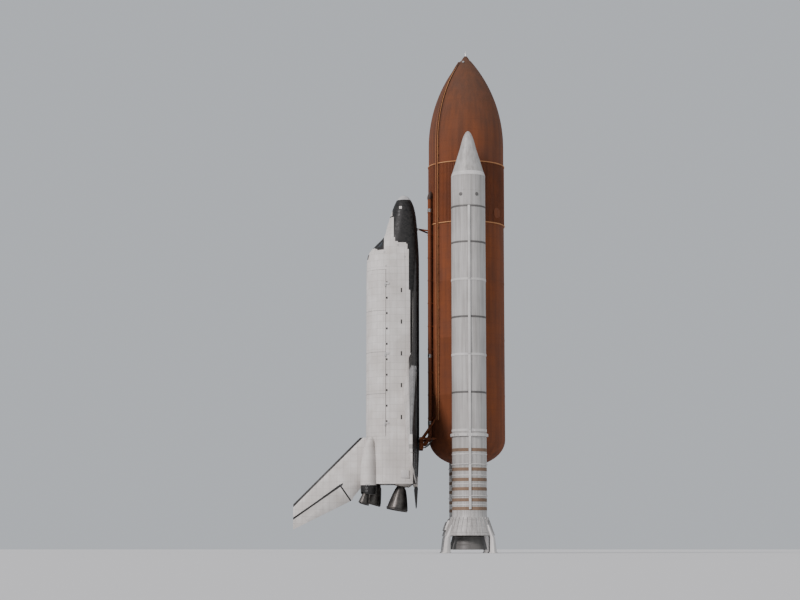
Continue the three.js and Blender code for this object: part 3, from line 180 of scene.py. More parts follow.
class Shape:
    """Points and faces of one piece, collected before its mesh is made.

    Each method that adds a body takes the faces' mark, which is the number of their material, and
    gives the shape back.
    """

    def __init__(self) -> None:
        """Starts an empty shape."""
        self.points: list[Vector] = []
        self.faces: list[tuple[int, ...]] = []
        self.marks: list[int] = []

    def loft(self, rings: Sequence[Ring], mark: int = 0, wrap: bool = False) -> "Shape":
        """Adds a closed body through rings of equal count.

        Args:
            rings: The rings, in order.
            mark: Material number of its faces.
            wrap: Whether the last ring joins the first instead of both being capped.

        Returns:
            This shape.
        """
        count = len(rings[0])
        starts = [len(self.points) + i * count for i in range(len(rings))]
        self.points += [place for ring in rings for place in ring]
        pairs = list(zip(starts, starts[1:]))
        if wrap:
            pairs.append((starts[-1], starts[0]))
        faces = []
        for low, high in pairs:
            for i in range(count):
                j = (i + 1) % count
                faces.append((low + i, low + j, high + j, high + i))
        if not wrap:
            faces += [tuple(range(start, start + count)) for start in (starts[0], starts[-1])]
        self.faces += faces
        self.marks += [mark] * len(faces)
        return self

    def turned(
        self,
        profile: Sequence[Pair],
        foot: Vector,
        axis: Vector,
        steps: int = 96,
        mark: int = 0,
        wrap: bool = False,
    ) -> "Shape":
        """Adds a body of revolution.

        Args:
            profile: Radius and distance along the axis, in inches, of each ring. A closed profile
                goes round the wall's section and wraps.
            foot: Place of distance zero, in metres.
            axis: Direction of the axis.
            steps: Points in each ring.
            mark: Material number of its faces.
            wrap: Whether the last ring joins the first.

        Returns:
            This shape.
        """
        first = axis.orthogonal().normalized()
        second = axis.cross(first).normalized()
        rings = []
        for radius, along in profile:
            rings.append(circle(foot + axis * (along * INCH), first, second, max(radius, POLE_RADIUS), steps))
        return self.loft(rings, mark, wrap)

    def rod(self, start: Vector, end: Vector, radius: float, steps: int = 24, mark: int = 0) -> "Shape":
        """Adds a rod with slightly rounded ends.

        Args:
            start: Place of one end, in metres.
            end: Place of the other end.
            radius: Its radius in inches.
            steps: Points round it.
            mark: Material number of its faces.

        Returns:
            This shape.
        """
        length = (end - start).length / INCH
        soft = min(radius * ROD_ROUNDING, length * 0.2)
        profile = [(radius - soft, 0), (radius, soft), (radius, length - soft), (radius - soft, length)]
        return self.turned(profile, start, (end - start).normalized(), steps, mark)

    def tube(self, path: Sequence[Vector], radius: float, steps: int = 16, mark: int = 0) -> "Shape":
        """Adds a tube along a path.

        Args:
            path: Places of its middle line, in metres.
            radius: Its radius in inches.
            steps: Points round it.
            mark: Material number of its faces.

        Returns:
            This shape.
        """
        rings = []
        for i, place in enumerate(path):
            along = (path[min(i + 1, len(path) - 1)] - path[max(i - 1, 0)]).normalized()
            first = along.cross(Vector((0.3, 1.0, 0.1))).normalized()
            rings.append(circle(place, first, along.cross(first).normalized(), radius, steps))
        return self.loft(rings, mark)

    def box(self, low: Vector, high: Vector, mark: int = 0) -> "Shape":
        """Adds a box between two opposite corners in metres."""
        corners = ((low.x, low.y), (high.x, low.y), (high.x, high.y), (low.x, high.y))
        return self.loft([[Vector((x, y, z)) for x, y in corners] for z in (low.z, high.z)], mark)

    def orbiter_box(self, low: Point, high: Point, mark: int = 0) -> "Shape":
        """Adds a box between two corners given by station, side and height."""
        return self.box(Place.orbiter(*low), Place.orbiter(*high), mark)

    def orbiter_rod(
        self, place: Point, along: Pair, radius: float, steps: int = 24, mark: int = 0, axis: int = 0
    ) -> "Shape":
        """Adds a rod along one of the orbiter's axes.

        Args:
            place: Station, side and height from which its ends are measured.
            along: Distances of its ends.
            radius: Its radius.
            steps: Points round it.
            mark: Material number of its faces.
            axis: 0 for a rod along the station, 1 for one along the side.

        Returns:
            This shape.
        """
        ends = []
        for distance in along:
            end = list(place)
            end[axis] += distance
            ends.append(Place.orbiter(*end))
        return self.rod(ends[0], ends[1], radius, steps, mark)

    def prism(
        self, outline: Sequence[Pair], low: float, high: float, mark: int = 0, sideways: bool = False
    ) -> "Shape":
        """Adds an outline that is carried along the orbiter, or sideways.

        Args:
            outline: Side and height of its corners, or station and height if it is carried sideways.
            low: Station or side where it starts.
            high: Station or side where it ends.
            mark: Material number of its faces.
            sideways: Whether it is carried along the side.

        Returns:
            This shape.
        """
        rings = []
        for depth in (low, high):
            rings.append([
                Place.orbiter(a, depth, b) if sideways else Place.orbiter(depth, a, b) for a, b in outline
            ])
        return self.loft(rings, mark)

    def make(self, name: str, materials: Sequence[bpy.types.Material]) -> Piece:
        """Makes the object, with its faces turned outwards and shaded smooth below an angle.

        Args:
            name: The object's name.
            materials: Materials by the faces' marks.

        Returns:
            The new object.
        """
        mesh = bpy.data.meshes.new(name)
        mesh.from_pydata([tuple(place) for place in self.points], [], self.faces)
        mesh.polygons.foreach_set("material_index", self.marks)
        form = bmesh.new()
        form.from_mesh(mesh)
        bmesh.ops.recalc_face_normals(form, faces=form.faces)
        return Bench.finish(form, mesh, name, materials)


class Bench:
    """Work done on whole objects: shading, cutting, joining and copying."""

    @staticmethod
    def finish(
        form: bmesh.types.BMesh, mesh: bpy.types.Mesh, name: str, materials: Sequence[bpy.types.Material]
    ) -> Piece:
        """Makes an object of a worked form.

        Args:
            form: The form, which is used up.
            mesh: The mesh that takes it.
            name: The object's name.
            materials: Its materials, in order.

        Returns:
            The new object.
        """
        form.to_mesh(mesh)
        form.free()
        for material in materials:
            mesh.materials.append(material)
        made = bpy.data.objects.new(name, mesh)
        bpy.context.scene.collection.objects.link(made)
        return Bench.smooth(made)

    @staticmethod
    def smooth(piece: Piece) -> Piece:
        """Shades an object smooth, with sharp edges above an angle.

        Args:
            piece: The object.

        Returns:
            The same object.
        """
        piece.data.polygons.foreach_set("use_smooth", [True] * len(piece.data.polygons))
        piece.data.set_sharp_from_angle(angle=SMOOTH_ANGLE)
        return piece

    @staticmethod
    def settle(piece: Piece) -> Piece:
        """Turns an object's modifiers into a plain mesh and removes them.

        Args:
            piece: The object.

        Returns:
            The same object.
        """
        bpy.context.view_layer.update()
        ready = piece.evaluated_get(bpy.context.evaluated_depsgraph_get())
        mesh = bpy.data.meshes.new_from_object(ready)
        old = piece.data
        piece.modifiers.clear()
        piece.data = mesh
        bpy.data.meshes.remove(old)
        return piece

    @staticmethod
    def carve(piece: Piece, tools: Sequence[Piece], operation: str = "DIFFERENCE") -> Piece:
        """Cuts or joins other objects with a piece, and removes them.

        Args:
            piece: The object that changes.
            tools: The objects that cut it or join it.
            operation: DIFFERENCE, UNION or INTERSECT.

        Returns:
            The piece.
        """
        for tool in tools:
            change = piece.modifiers.new("carve", "BOOLEAN")
            change.operation = operation
            change.solver = "EXACT"
            change.object = tool
            change.material_mode = "TRANSFER"
        Bench.settle(piece)
        for tool in tools:
            bpy.data.objects.remove(tool)
        return Bench.smooth(piece)

    @staticmethod
    def join(name: str, pieces: Sequence[Piece]) -> Piece:
        """Joins objects into one mesh that keeps their materials.

        Args:
            name: The new object's name.
            pieces: The objects, which are used up.

        Returns:
            The joined object.
        """
        form = bmesh.new()
        materials: list[bpy.types.Material] = []
        for piece in pieces:
            first = len(form.faces)
            form.from_mesh(piece.data)
            form.faces.ensure_lookup_table()
            materials += [material for material in piece.data.materials if material not in materials]
            numbers = [materials.index(material) for material in piece.data.materials]
            for face in form.faces[first:]:
                face.material_index = numbers[face.material_index]
        made = Bench.finish(form, bpy.data.meshes.new(name), name, materials)
        for piece in pieces:
            bpy.data.objects.remove(piece)
        return made

    @staticmethod
    def copy_node(
        node: str,
        materials: Sequence[bpy.types.Material],
        rule: Callable[[Vector, Vector], int] | None = None,
        name: str | None = None,
    ) -> Piece:
        """Makes a merged, smoothly shaded copy of a frame node.

        Args:
            node: The node's name.
            materials: Materials by mark.
            rule: Gives a face's mark from its middle and its normal.
            name: The copy's name, or None for the node's name with a word added.

        Returns:
            The copy.
        """
        form = bmesh.new()
        form.from_mesh(frame["nodes"][node].data)
        bmesh.ops.remove_doubles(form, verts=form.verts, dist=1e-5)
        bmesh.ops.dissolve_limit(form, angle_limit=0.001, verts=form.verts, edges=form.edges)
        for face in form.faces:
            face.material_index = rule(face.calc_center_median(), face.normal) if rule else 0
        title = name or f"{node}_skin"
        return Bench.finish(form, bpy.data.meshes.new(title), title, materials)

    @staticmethod
    def bevel(piece: Piece, width: float, segments: int = 2) -> Piece:
        """Rounds a piece's sharp edges.

        Args:
            piece: The piece.
            width: Width of the rounding in inches.
            segments: Faces across it.

        Returns:
            The piece.
        """
        change = piece.modifiers.new("round", "BEVEL")
        change.width = width * INCH
        change.segments = segments
        change.limit_method = "ANGLE"
        change.angle_limit = SMOOTH_ANGLE
        change.harden_normals = False
        return Bench.smooth(Bench.settle(piece))

    @staticmethod
    def place(piece: Piece, node: str, slot: str) -> None:
        """Makes a piece move with a node's body and stand for the node.

        Args:
            piece: The finished object.
            node: The frame node that it replaces.
            slot: The record's material slot; not used.
        """
        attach(piece, frame["nodes"][node]["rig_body"])
        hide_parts(node)
        log.info("%s: %d faces on %s", piece.name, len(piece.data.polygons), node)

    @staticmethod
    def assemble(node: str, slot: str, pieces: Sequence[Piece], name: str | None = None) -> None:
        """Joins pieces into the one that stands for a node, named after it if no name is given."""
        Bench.place(Bench.join(name or f"{node}_skin", pieces), node, slot)


class Graph:
    """Adds nodes to a tree, most of them in one call that gives their output."""

    def __init__(self, tree: bpy.types.NodeTree) -> None:
        """Works on a tree."""
        self.tree = tree

    def node(
        self, kind: str, inputs: dict[str | int, object] | None = None, **values: object
    ) -> bpy.types.Node:
        """Adds a node, sets its properties and feeds its inputs.

        Args:
            kind: The node's type.
            inputs: Sockets or plain values by the input's name or number.
            **values: Properties by name.

        Returns:
            The node.
        """
        made = self.tree.nodes.new(kind)
        for name, value in values.items():
            setattr(made, name, value)
        for key, value in (inputs or {}).items():
            self.put(made.inputs[key], value)
        return made

    def put(self, socket: Socket, value: object) -> None:
        """Links an output to a socket, or sets the socket's own value."""
        if isinstance(value, bpy.types.NodeSocket):
            self.tree.links.new(value, socket)
        else:
            socket.default_value = value

    def math(self, operation: str, *values: object) -> Socket:
        """Adds a Math node."""
        return self.node("ShaderNodeMath", dict(enumerate(values)), operation=operation).outputs[0]

    def chain(self, operation: str, *values: object) -> Socket:
        """Joins values two by two with one Math operation."""
        return reduce(lambda low, high: self.math(operation, low, high), values)

    def within(self, value: object, low: object, high: object) -> Socket:
        """A mask of the values between two others."""
        over, under = self.math("GREATER_THAN", value, low), self.math("LESS_THAN", value, high)
        return self.chain("MULTIPLY", over, under)

    def blend(self, share: object, low: object, high: object) -> Socket:
        """Mixes two colours by a share."""
        return self.node("ShaderNodeMix", {0: share, 6: low, 7: high}, data_type="RGBA").outputs[2]

    def tint(self, value: object, most: float, colour: object, other: object) -> Socket:
        """Mixes another colour into a colour by a value, up to a share at most."""
        return self.blend(self.stretch(value, 0.0, 1.0, 0.0, most), colour, other)

    def stretch(
        self, value: object, low: float, high: float, to_low: float = 0.0, to_high: float = 1.0
    ) -> Socket:
        """Maps a range to another, held at its ends."""
        values = dict(enumerate((value, low, high, to_low, to_high)))
        return self.node("ShaderNodeMapRange", values).outputs[0]

    def ramp(self, value: object, stops: Sequence[Pair]) -> Socket:
        """Maps a share to grey values.

        Args:
            value: The share.
            stops: Share and grey value of each stop.

        Returns:
            The colour's socket.
        """
        made = self.node("ShaderNodeValToRGB", {0: value})
        elements = made.color_ramp.elements
        for i, (share, level) in enumerate(stops):
            stop = elements[i] if i < 2 else elements.new(share)
            stop.position = share
            stop.color = (level, level, level, 1.0)
        return made.outputs[0]

    def noise(self, place: Socket, size: Socket, detail: float) -> Socket:
        """Adds a noise whose features have about a size in metres."""
        inputs = {"Vector": place, "Scale": self.math("DIVIDE", 1.0, size), "Detail": detail}
        return self.node("ShaderNodeTexNoise", inputs).outputs["Fac"]

    def group(self, tree: bpy.types.NodeTree, **values: object) -> bpy.types.NodeOutputs:
        """Places a node group whose inputs are given by name, and gives its outputs."""
        return self.node("ShaderNodeGroup", values, node_tree=tree).outputs


class Group(Graph):
    """The graph of a node group, with the group's own sockets by name."""

    def __init__(
        self, kind: str, name: str, inputs: dict[str, str], out_kind: str, outputs: Sequence[str]
    ) -> None:
        """Makes the group with its sockets.

        Args:
            kind: The tree's type.
            name: The group's name.
            inputs: Kind of each input by its name.
            out_kind: Kind of every output.
            outputs: Names of the outputs.
        """
        super().__init__(bpy.data.node_groups.new(name, kind))
        for label, socket in inputs.items():
            self.tree.interface.new_socket(label, in_out="INPUT", socket_type=f"NodeSocket{socket}")
        for label in outputs:
            self.tree.interface.new_socket(label, in_out="OUTPUT", socket_type=f"NodeSocket{out_kind}")
        self.source = self.node("NodeGroupInput").outputs
        self.end = self.node("NodeGroupOutput").inputs

    def give(self, **values: Socket) -> bpy.types.NodeTree:
        """Feeds the group's outputs by name, and gives its tree."""
        for label, value in values.items():
            self.put(self.end[label], value)
        return self.tree


class Repeat:
    """Geometry Nodes trees that repeat a base mesh round an axis or along a line."""

    def __init__(self) -> None:
        """Builds both trees."""
        self.ring_tree = self.build_ring()
        self.row_tree = self.build_row()

    @staticmethod
    def start(name: str, **inputs: str) -> Group:
        """Makes an empty tree with its geometry sockets, its named inputs and a material."""
        sockets = {"Geometry": "Geometry", "Count": "Int", **inputs, "Material": "Material"}
        return Group("GeometryNodeTree", name, sockets, "Geometry", ["Geometry"])

    @staticmethod
    def finish(graph: Group, points: Socket, turn: object) -> bpy.types.NodeTree:
        """Puts the incoming mesh on points, realizes the copies and gives them their material.

        Args:
            graph: The tree's graph.
            points: The points' geometry socket.
            turn: The rotation of each copy, a socket or a plain value.

        Returns:
            The finished tree.
        """
        put = {"Points": points, "Instance": graph.source["Geometry"], "Rotation": turn}
        copies = graph.node("GeometryNodeInstanceOnPoints", put)
        real = graph.node("GeometryNodeRealizeInstances", {"Geometry": copies.outputs["Instances"]})
        painted = {"Geometry": real.outputs["Geometry"], "Material": graph.source["Material"]}
        return graph.give(Geometry=graph.node("GeometryNodeSetMaterial", painted).outputs["Geometry"])

    def build_ring(self) -> bpy.types.NodeTree:
        """Builds the tree that turns copies round the Z axis."""
        graph = self.start("ring_of_copies", First="Float", Step="Float")
        points = graph.node("GeometryNodePoints", {"Count": graph.source["Count"]}).outputs[0]
        number = graph.node("GeometryNodeInputIndex").outputs["Index"]
        angle = graph.math("MULTIPLY_ADD", number, graph.source["Step"], graph.source["First"])
        return self.finish(graph, points, graph.node("ShaderNodeCombineXYZ", {"Z": angle}).outputs[0])

    def build_row(self) -> bpy.types.NodeTree:
        """Builds the tree that places copies along a straight line."""
        graph = self.start("row_of_copies", Step="Vector")
        line = {"Count": graph.source["Count"], "Offset": graph.source["Step"]}
        return self.finish(graph, graph.node("GeometryNodeMeshLine", line).outputs[0], (0.0, 0.0, 0.0))

    @staticmethod
    def run(base: Piece, tree: bpy.types.NodeTree, **values: object) -> Piece:
        """Runs a tree on a base mesh and keeps the plain result.

        Args:
            base: The object whose mesh is repeated about the scene's origin.
            tree: The tree.
            **values: The inputs by name.

        Returns:
            The base object with the repeated mesh.
        """
        change = base.modifiers.new(tree.name, "NODES")
        change.node_group = tree
        for item in tree.interface.items_tree:
            if item.name in values:
                change[item.identifier] = values[item.name]
        return Bench.smooth(Bench.settle(base))


TILE = 6.0
BLANKET = 30.0
HEIGHT_SPAN = 600.0
# Height of the black tiles' upper edge on the body's side, by station.
BLACK_LINE = (
    (238.0, 560.0),
    (288.0, 560.0),
    (292.0, 390.0),
    (380.0, 384.0),
    (458.0, 380.0),
    (464.0, 322.0),
    (700.0, 314.0),
    (1000.0, 308.0),
    (1300.0, 302.0),
    (1511.0, 300.0),
)
# First and last station, lowest and highest height: the row of black tiles behind the nose
# thrusters, and the light patch ahead of them.
MODULE_EDGE = (337.0, 342.0, 378.0, HEIGHT_SPAN)
LIGHT_PATCH = (293.0, 307.0, 349.0, 362.0)
# Closed doors of the underside. Columns: first and last station, inner and outer side.
UNDERSIDE_DOORS = (
    (352.0, 474.0, -1.0, 15.0),
    (1042.0, 1192.0, 92.0, 160.0),
    (1306.0, 1358.0, 24.0, 74.0),
)
SEAL = 1.1
UNDERSIDE_TOP = 296.0
# First and last station of the seal panels ahead of the elevons, and their width.
FLIPPERS = (1361.0, 1379.0, 22.0)
# Station behind which, and side beyond which, a pod has black tiles round its thrusters.
POD_BLACK = (1517.0, 88.0)
# Heights in metres between which the tank's foam darkens towards its nose, a painted shade.
NOSE_PAINTED_SHADE = (20.5, 27.5)
# How much the streaks are drawn out along each axis.
STREAK_STRETCH = (1.0, 1.0, 0.04)


def grey(value: float, warmth: float = 0.0) -> Colour:
    """A grey of a linear value, warmer or cooler by a share."""
    return (value * (1 + warmth), value, value * (1 - warmth), 1.0)


@dataclass(frozen=True)
class Surround:
    """The black tiles round the windows, whose aft edge leans forward above a height."""

    first: float = 425.0
    last: float = 493.0
    low: float = 427.0
    slope_start: float = 450.0
    slope: float = 0.7


class Effects:
    """Shader groups that several finishes share."""

    def __init__(self) -> None:
        """Builds the groups."""
        self.wear = self.build_wear()
        self.where = self.build_where()
        self.tiles = self.build_tiles()
        self.line = self.build_line()

    @staticmethod
    def start(name: str, inputs: dict[str, str], *outputs: str) -> Group:
        """Makes an empty group whose outputs are values."""
        return Group("ShaderNodeTree", name, inputs, "Float", outputs)

    def build_wear(self) -> bpy.types.NodeTree:
        """Builds broad patches, fine grain and streaks that run down the stack."""
        inputs = {"Place": "Vector", "Patch": "Float", "Grain": "Float", "Streak": "Float"}
        graph = self.start("surface_wear", inputs, "Patches", "Fine", "Streaks")
        place = graph.source["Place"]
        drawn = graph.node("ShaderNodeVectorMath", {0: place, 1: STREAK_STRETCH}, operation="MULTIPLY")
        drawn = drawn.outputs[0]
        return graph.give(
            Patches=graph.stretch(graph.noise(place, graph.source["Patch"], 4.0), 0.32, 0.68),
            Fine=graph.stretch(graph.noise(place, graph.source["Grain"], 2.0), 0.3, 0.7),
            Streaks=graph.stretch(graph.noise(drawn, graph.source["Streak"], 3.0), 0.35, 0.65),
        )

    def build_where(self) -> bpy.types.NodeTree:
        """Builds the orbiter's station, side and height line, and the way round its body, in inches."""
        graph = self.start("orbiter_place", {"Place": "Vector"}, "Station", "Side", "Height", "Arc")
        x, y, z = graph.node("ShaderNodeSeparateXYZ", {0: graph.source["Place"]}).outputs
        side = graph.math("MULTIPLY", x, 1 / INCH)
        height = graph.math("MULTIPLY_ADD", y, -1 / INCH, HEIGHT_LINE - TANK_TO_LINE + TANK_Y / INCH)
        station = graph.math("MULTIPLY_ADD", z, -1 / INCH, FLOOR_STATION - ORBITER_STATION)
        turn = graph.math("ARCTAN2", graph.math("SUBTRACT", height, HEIGHT_LINE), side)
        arc = graph.math("MULTIPLY", turn, Fuselage.half_width)
        return graph.give(Station=station, Side=side, Height=height, Arc=arc)

    def build_tiles(self) -> bpy.types.NodeTree:
        """Builds a square grid with narrow joints and a value of its own for each tile."""
        inputs = {"Along": "Float", "Across": "Float", "Size": "Float", "Joint": "Float"}
        graph = self.start("tile_grid", inputs, "Joints", "Shade")
        size = graph.source["Size"]
        half_joint = graph.math("DIVIDE", graph.source["Joint"], size)
        cells, gaps = {}, []
        for axis, label in (("X", "Along"), ("Y", "Across")):
            count = graph.math("DIVIDE", graph.source[label], size)
            cells[axis] = graph.math("FLOOR", count)
            gaps.append(graph.math("LESS_THAN", graph.math("PINGPONG", count, 0.5), half_joint))
        cell = graph.node("ShaderNodeCombineXYZ", cells).outputs[0]
        shade = graph.node("ShaderNodeTexWhiteNoise", {"Vector": cell}, noise_dimensions="3D")
        return graph.give(Joints=graph.math("MAXIMUM", *gaps), Shade=shade.outputs["Value"])

    def build_line(self) -> bpy.types.NodeTree:
        """Builds the mask of the black tiles on the body, which ends in steps of whole tiles."""
        graph = self.start("black_tile_line", {"Station": "Float", "Height": "Float"}, "Black")
        station, height = (
            graph.math("MULTIPLY_ADD", graph.math("FLOOR", graph.math("DIVIDE", value, TILE)), TILE, TILE / 2)
            for value in (graph.source["Station"], graph.source["Height"])
        )
        first, last = BLACK_LINE[0][0], BLACK_LINE[-1][0]
        stops = [((s - first) / (last - first), h / HEIGHT_SPAN) for s, h in BLACK_LINE]
        line = graph.math("MULTIPLY", graph.ramp(graph.stretch(station, first, last), stops), HEIGHT_SPAN)
        below = graph.math("LESS_THAN", height, line)
        surround = Surround()
        over = graph.math("MAXIMUM", graph.math("SUBTRACT", height, surround.slope_start), 0.0)
        back = graph.math("MULTIPLY_ADD", over, -surround.slope, surround.last)
        window = self.inside(graph, station, height, surround.first, back, surround.low, HEIGHT_SPAN)
        module = self.inside(graph, station, height, *MODULE_EDGE)
        patch = self.inside(graph, station, height, *LIGHT_PATCH)
        black = graph.chain("MAXIMUM", below, window, module)
        return graph.give(Black=graph.math("SUBTRACT", black, graph.math("MULTIPLY", black, patch)))

    @staticmethod
    def inside(graph: Graph, along: Socket, across: Socket, *edges: object) -> Socket:
        """A mask between a first and a last edge along, and a low and a high edge across."""
        return graph.math("MULTIPLY", graph.within(along, *edges[:2]), graph.within(across, *edges[2:]))


class Layout(Enum):
    """Which tiles a part of the orbiter wears, with what their grid follows along and across."""

    BODY = ("body", "Station", "Arc")
    WING = ("wing", "Station", "Side")
    POD = ("pod", "Station", "Side")
    BLACK = ("black", "Station", "Side")
    BASE = ("base", "Height", "Side")
    FIN = ("fin", "Station", "Height")


class Surface:
    """A new material with its graph, its shader and the wear on it."""

    def __init__(self, name: str, effects: Effects, patch: float, grain: float, streak: float) -> None:
        """Makes the material with wear on its Object coordinates.

        Args:
            name: The material's name.
            effects: The shared groups.
            patch: Size of the broad patches in metres.
            grain: Size of the fine grain.
            streak: Width of the streaks.
        """
        self.material = bpy.data.materials.new(name)
        self.material.use_nodes = True
        self.graph = Graph(self.material.node_tree)
        self.shader = self.material.node_tree.nodes["Principled BSDF"].inputs
        self.place = self.graph.node("ShaderNodeTexCoord").outputs["Object"]
        self.wear = self.graph.group(effects.wear, Place=self.place, Patch=patch, Grain=grain, Streak=streak)

    def fill(self, values: dict[str, object]) -> None:
        """Sets or feeds the shader's inputs by name."""
        for label, value in values.items():
            self.graph.put(self.shader[label], value)

    def bump(self, height: Socket, strength: float, depth: float) -> None:
        """Feeds a height to the shader's normal as bump, its depth in metres."""
        inputs = {"Strength": strength, "Distance": depth, "Height": height}
        self.fill({"Normal": self.graph.node("ShaderNodeBump", inputs).outputs["Normal"]})


@dataclass(frozen=True)
class Coat:
    """A painted, sprayed or bare surface with patches, grain and streaks.

    Sizes are in metres. Bands are the pitch of faint level bands in inches, 0 for none. The nose's painted
    shade is how far the colour darkens towards the top, 0 for none.
    """

    name: str
    low: Colour
    high: Colour
    rough: Pair = (0.5, 0.65)
    metallic: float = 0.0
    patch: float = 1.2
    grain: float = 0.02
    streak: float = 0.25
    streak_share: float = 0.35
    bump: float = 0.15
    depth: float = 0.004
    bands: float = 0.0
    nose_shade: float = 0.0

    def build(self, effects: Effects) -> bpy.types.Material:
        """Builds the material.

        Args:
            effects: The shared groups.

        Returns:
            The material.
        """
        surface = Surface(self.name, effects, self.patch, self.grain, self.streak)
        graph, patches, height = surface.graph, surface.wear["Patches"], surface.wear["Fine"]
        share = graph.math("MULTIPLY", surface.wear["Streaks"], self.streak_share)
        share = graph.math("MULTIPLY_ADD", patches, 1 - self.streak_share, share)
        colour = graph.blend(share, self.low, self.high)
        level = graph.node("ShaderNodeSeparateXYZ", {0: surface.place}).outputs[2]
        if self.bands:
            count = graph.math("DIVIDE", level, self.bands * INCH)
            band = graph.stretch(graph.math("PINGPONG", count, 0.5), 0.0, 0.08)
            colour = graph.blend(graph.stretch(band, 0.0, 1.0, 0.22, 0.0), colour, self.low)
            height = graph.math("MULTIPLY_ADD", band, 0.5, height)
        # Painted shade: the colour darkens towards the top of the stack.
        if self.nose_shade:
            dark = graph.stretch(level, *NOSE_PAINTED_SHADE, 0.0, self.nose_shade)
            colour = graph.blend(dark, colour, grey(0.03, 0.35))
        rough = graph.stretch(patches, 0.0, 1.0, *self.rough)
        surface.fill({"Base Color": colour, "Roughness": rough, "Metallic": self.metallic})
        surface.bump(height, self.bump, self.depth)
        return surface.material


@dataclass(frozen=True)
class Tiles:
    """Blankets and tiles of the orbiter, laid out by a Layout."""

    name: str
    layout: Layout
    white: Colour = grey(0.64, 0.03)
    soiled: Colour = grey(0.4, 0.07)
    quilted: Colour = grey(0.14, 0.1)
    black: Colour = grey(0.006)
    worn: Colour = grey(0.02, 0.05)
    joint: Colour = grey(0.002)
    flippers: tuple[Colour, Colour, Colour] = (grey(0.24, 0.06), grey(0.34, 0.04), grey(0.03))
    seal: Colour = grey(0.09, 0.1)

    def build(self, effects: Effects) -> bpy.types.Material:
        """Builds the material.

        Args:
            effects: The shared groups.

        Returns:
            The material.
        """
        surface = Surface(self.name, effects, 0.9, 0.012, 0.12)
        graph, wear = surface.graph, surface.wear
        where = graph.group(effects.where, Place=surface.place)
        _, along, across = self.layout.value
        tiles = graph.group(effects.tiles, Along=where[along], Across=where[across], Size=TILE, Joint=0.16)
        quilt = graph.group(effects.tiles, Along=where[along], Across=where[across], Size=BLANKET, Joint=0.35)
        light = self.white
        for value, share in ((wear["Patches"], 0.7), (wear["Streaks"], 0.3), (quilt["Shade"], 0.3)):
            light = graph.tint(value, share, light, self.soiled)
        light = graph.tint(quilt["Joints"], 0.6, light, self.quilted)
        if self.layout is Layout.WING:
            light = self.add_flippers(graph, effects, where, light)
        dark = graph.blend(tiles["Shade"], self.black, self.worn)
        dark = graph.tint(tiles["Joints"], 0.8, dark, self.joint)
        if self.layout in (Layout.BODY, Layout.BLACK):
            dark = graph.blend(self.door_seams(graph, effects, where), dark, self.seal)
        mask = self.mask(graph, effects, where)
        plain = graph.stretch(wear["Patches"], 0.0, 1.0, 0.62, 0.8)
        tiled = graph.stretch(tiles["Shade"], 0.0, 1.0, 0.42, 0.62)
        if mask in (0.0, 1.0):
            colour, rough = (dark, tiled) if mask else (light, plain)
        else:
            colour = graph.blend(mask, light, dark)
            rough = graph.math("MULTIPLY_ADD", graph.math("SUBTRACT", tiled, plain), mask, plain)
        surface.fill({"Base Color": colour, "Roughness": rough, "Specular IOR Level": 0.28})
        joints = tiles["Joints"] if mask == 1.0 else quilt["Joints"]
        surface.bump(graph.math("SUBTRACT", wear["Fine"], graph.math("MULTIPLY", joints, 2.0)), 0.25, 0.004)
        return surface.material

    @staticmethod
    def door_seams(graph: Graph, effects: Effects, where: bpy.types.NodeOutputs) -> Socket:
        """A mask of the seals round the closed doors of the underside, alike on both sides.

        Args:
            graph: The material's graph.
            effects: The shared groups.
            where: The outputs that give the place on the orbiter.

        Returns:
            The mask.
        """
        side = graph.math("ABSOLUTE", where["Side"])
        masks = []
        for first, last, inner, outer in UNDERSIDE_DOORS:
            whole = effects.inside(graph, where["Station"], side, first, last, inner, outer)
            room = (first + SEAL, last - SEAL, inner + SEAL, outer - SEAL)
            masks.append(graph.math("SUBTRACT", whole, effects.inside(graph, where["Station"], side, *room)))
        below = graph.math("LESS_THAN", where["Height"], UNDERSIDE_TOP)
        return graph.math("MULTIPLY", graph.chain("MAXIMUM", *masks), below)

    def add_flippers(
        self, graph: Graph, effects: Effects, where: bpy.types.NodeOutputs, light: Socket
    ) -> Socket:
        """Adds the row of metal seal panels ahead of the elevons to the wing's colour.

        Args:
            graph: The material's graph.
            effects: The shared groups.
            where: The outputs that give the place on the orbiter.
            light: The wing's colour.

        Returns:
            The colour with the panels.
        """
        first, last, width = FLIPPERS
        away = graph.math("ABSOLUTE", graph.math("SUBTRACT", where["Station"], (first + last) / 2))
        strip = graph.math("LESS_THAN", away, (last - first) / 2)
        panels = graph.group(effects.tiles, Along=0.5, Across=where["Side"], Size=width, Joint=0.3)
        shade = graph.blend(panels["Shade"], self.flippers[0], self.flippers[1])
        return graph.blend(strip, light, graph.blend(panels["Joints"], shade, self.flippers[2]))

    def mask(self, graph: Graph, effects: Effects, where: bpy.types.NodeOutputs) -> object:
        """Where the black tiles are.

        Args:
            graph: The material's graph.
            effects: The shared groups.
            where: The outputs that give the place on the orbiter.

        Returns:
            A mask socket, or 0.0 or 1.0 where it is the same all over.
        """
        station, height = where["Station"], where["Height"]
        if self.layout is Layout.FIN:
            return self.fin_mask(graph, station, height)
        if self.layout is Layout.POD:
            out = graph.math("GREATER_THAN", graph.math("ABSOLUTE", where["Side"]), POD_BLACK[1])
            return graph.math("MULTIPLY", out, graph.math("GREATER_THAN", station, POD_BLACK[0]))
        if self.layout is Layout.BODY:
            return graph.group(effects.line, Station=station, Height=height)["Black"]
        return 1.0 if self.layout in (Layout.BLACK, Layout.BASE) else 0.0

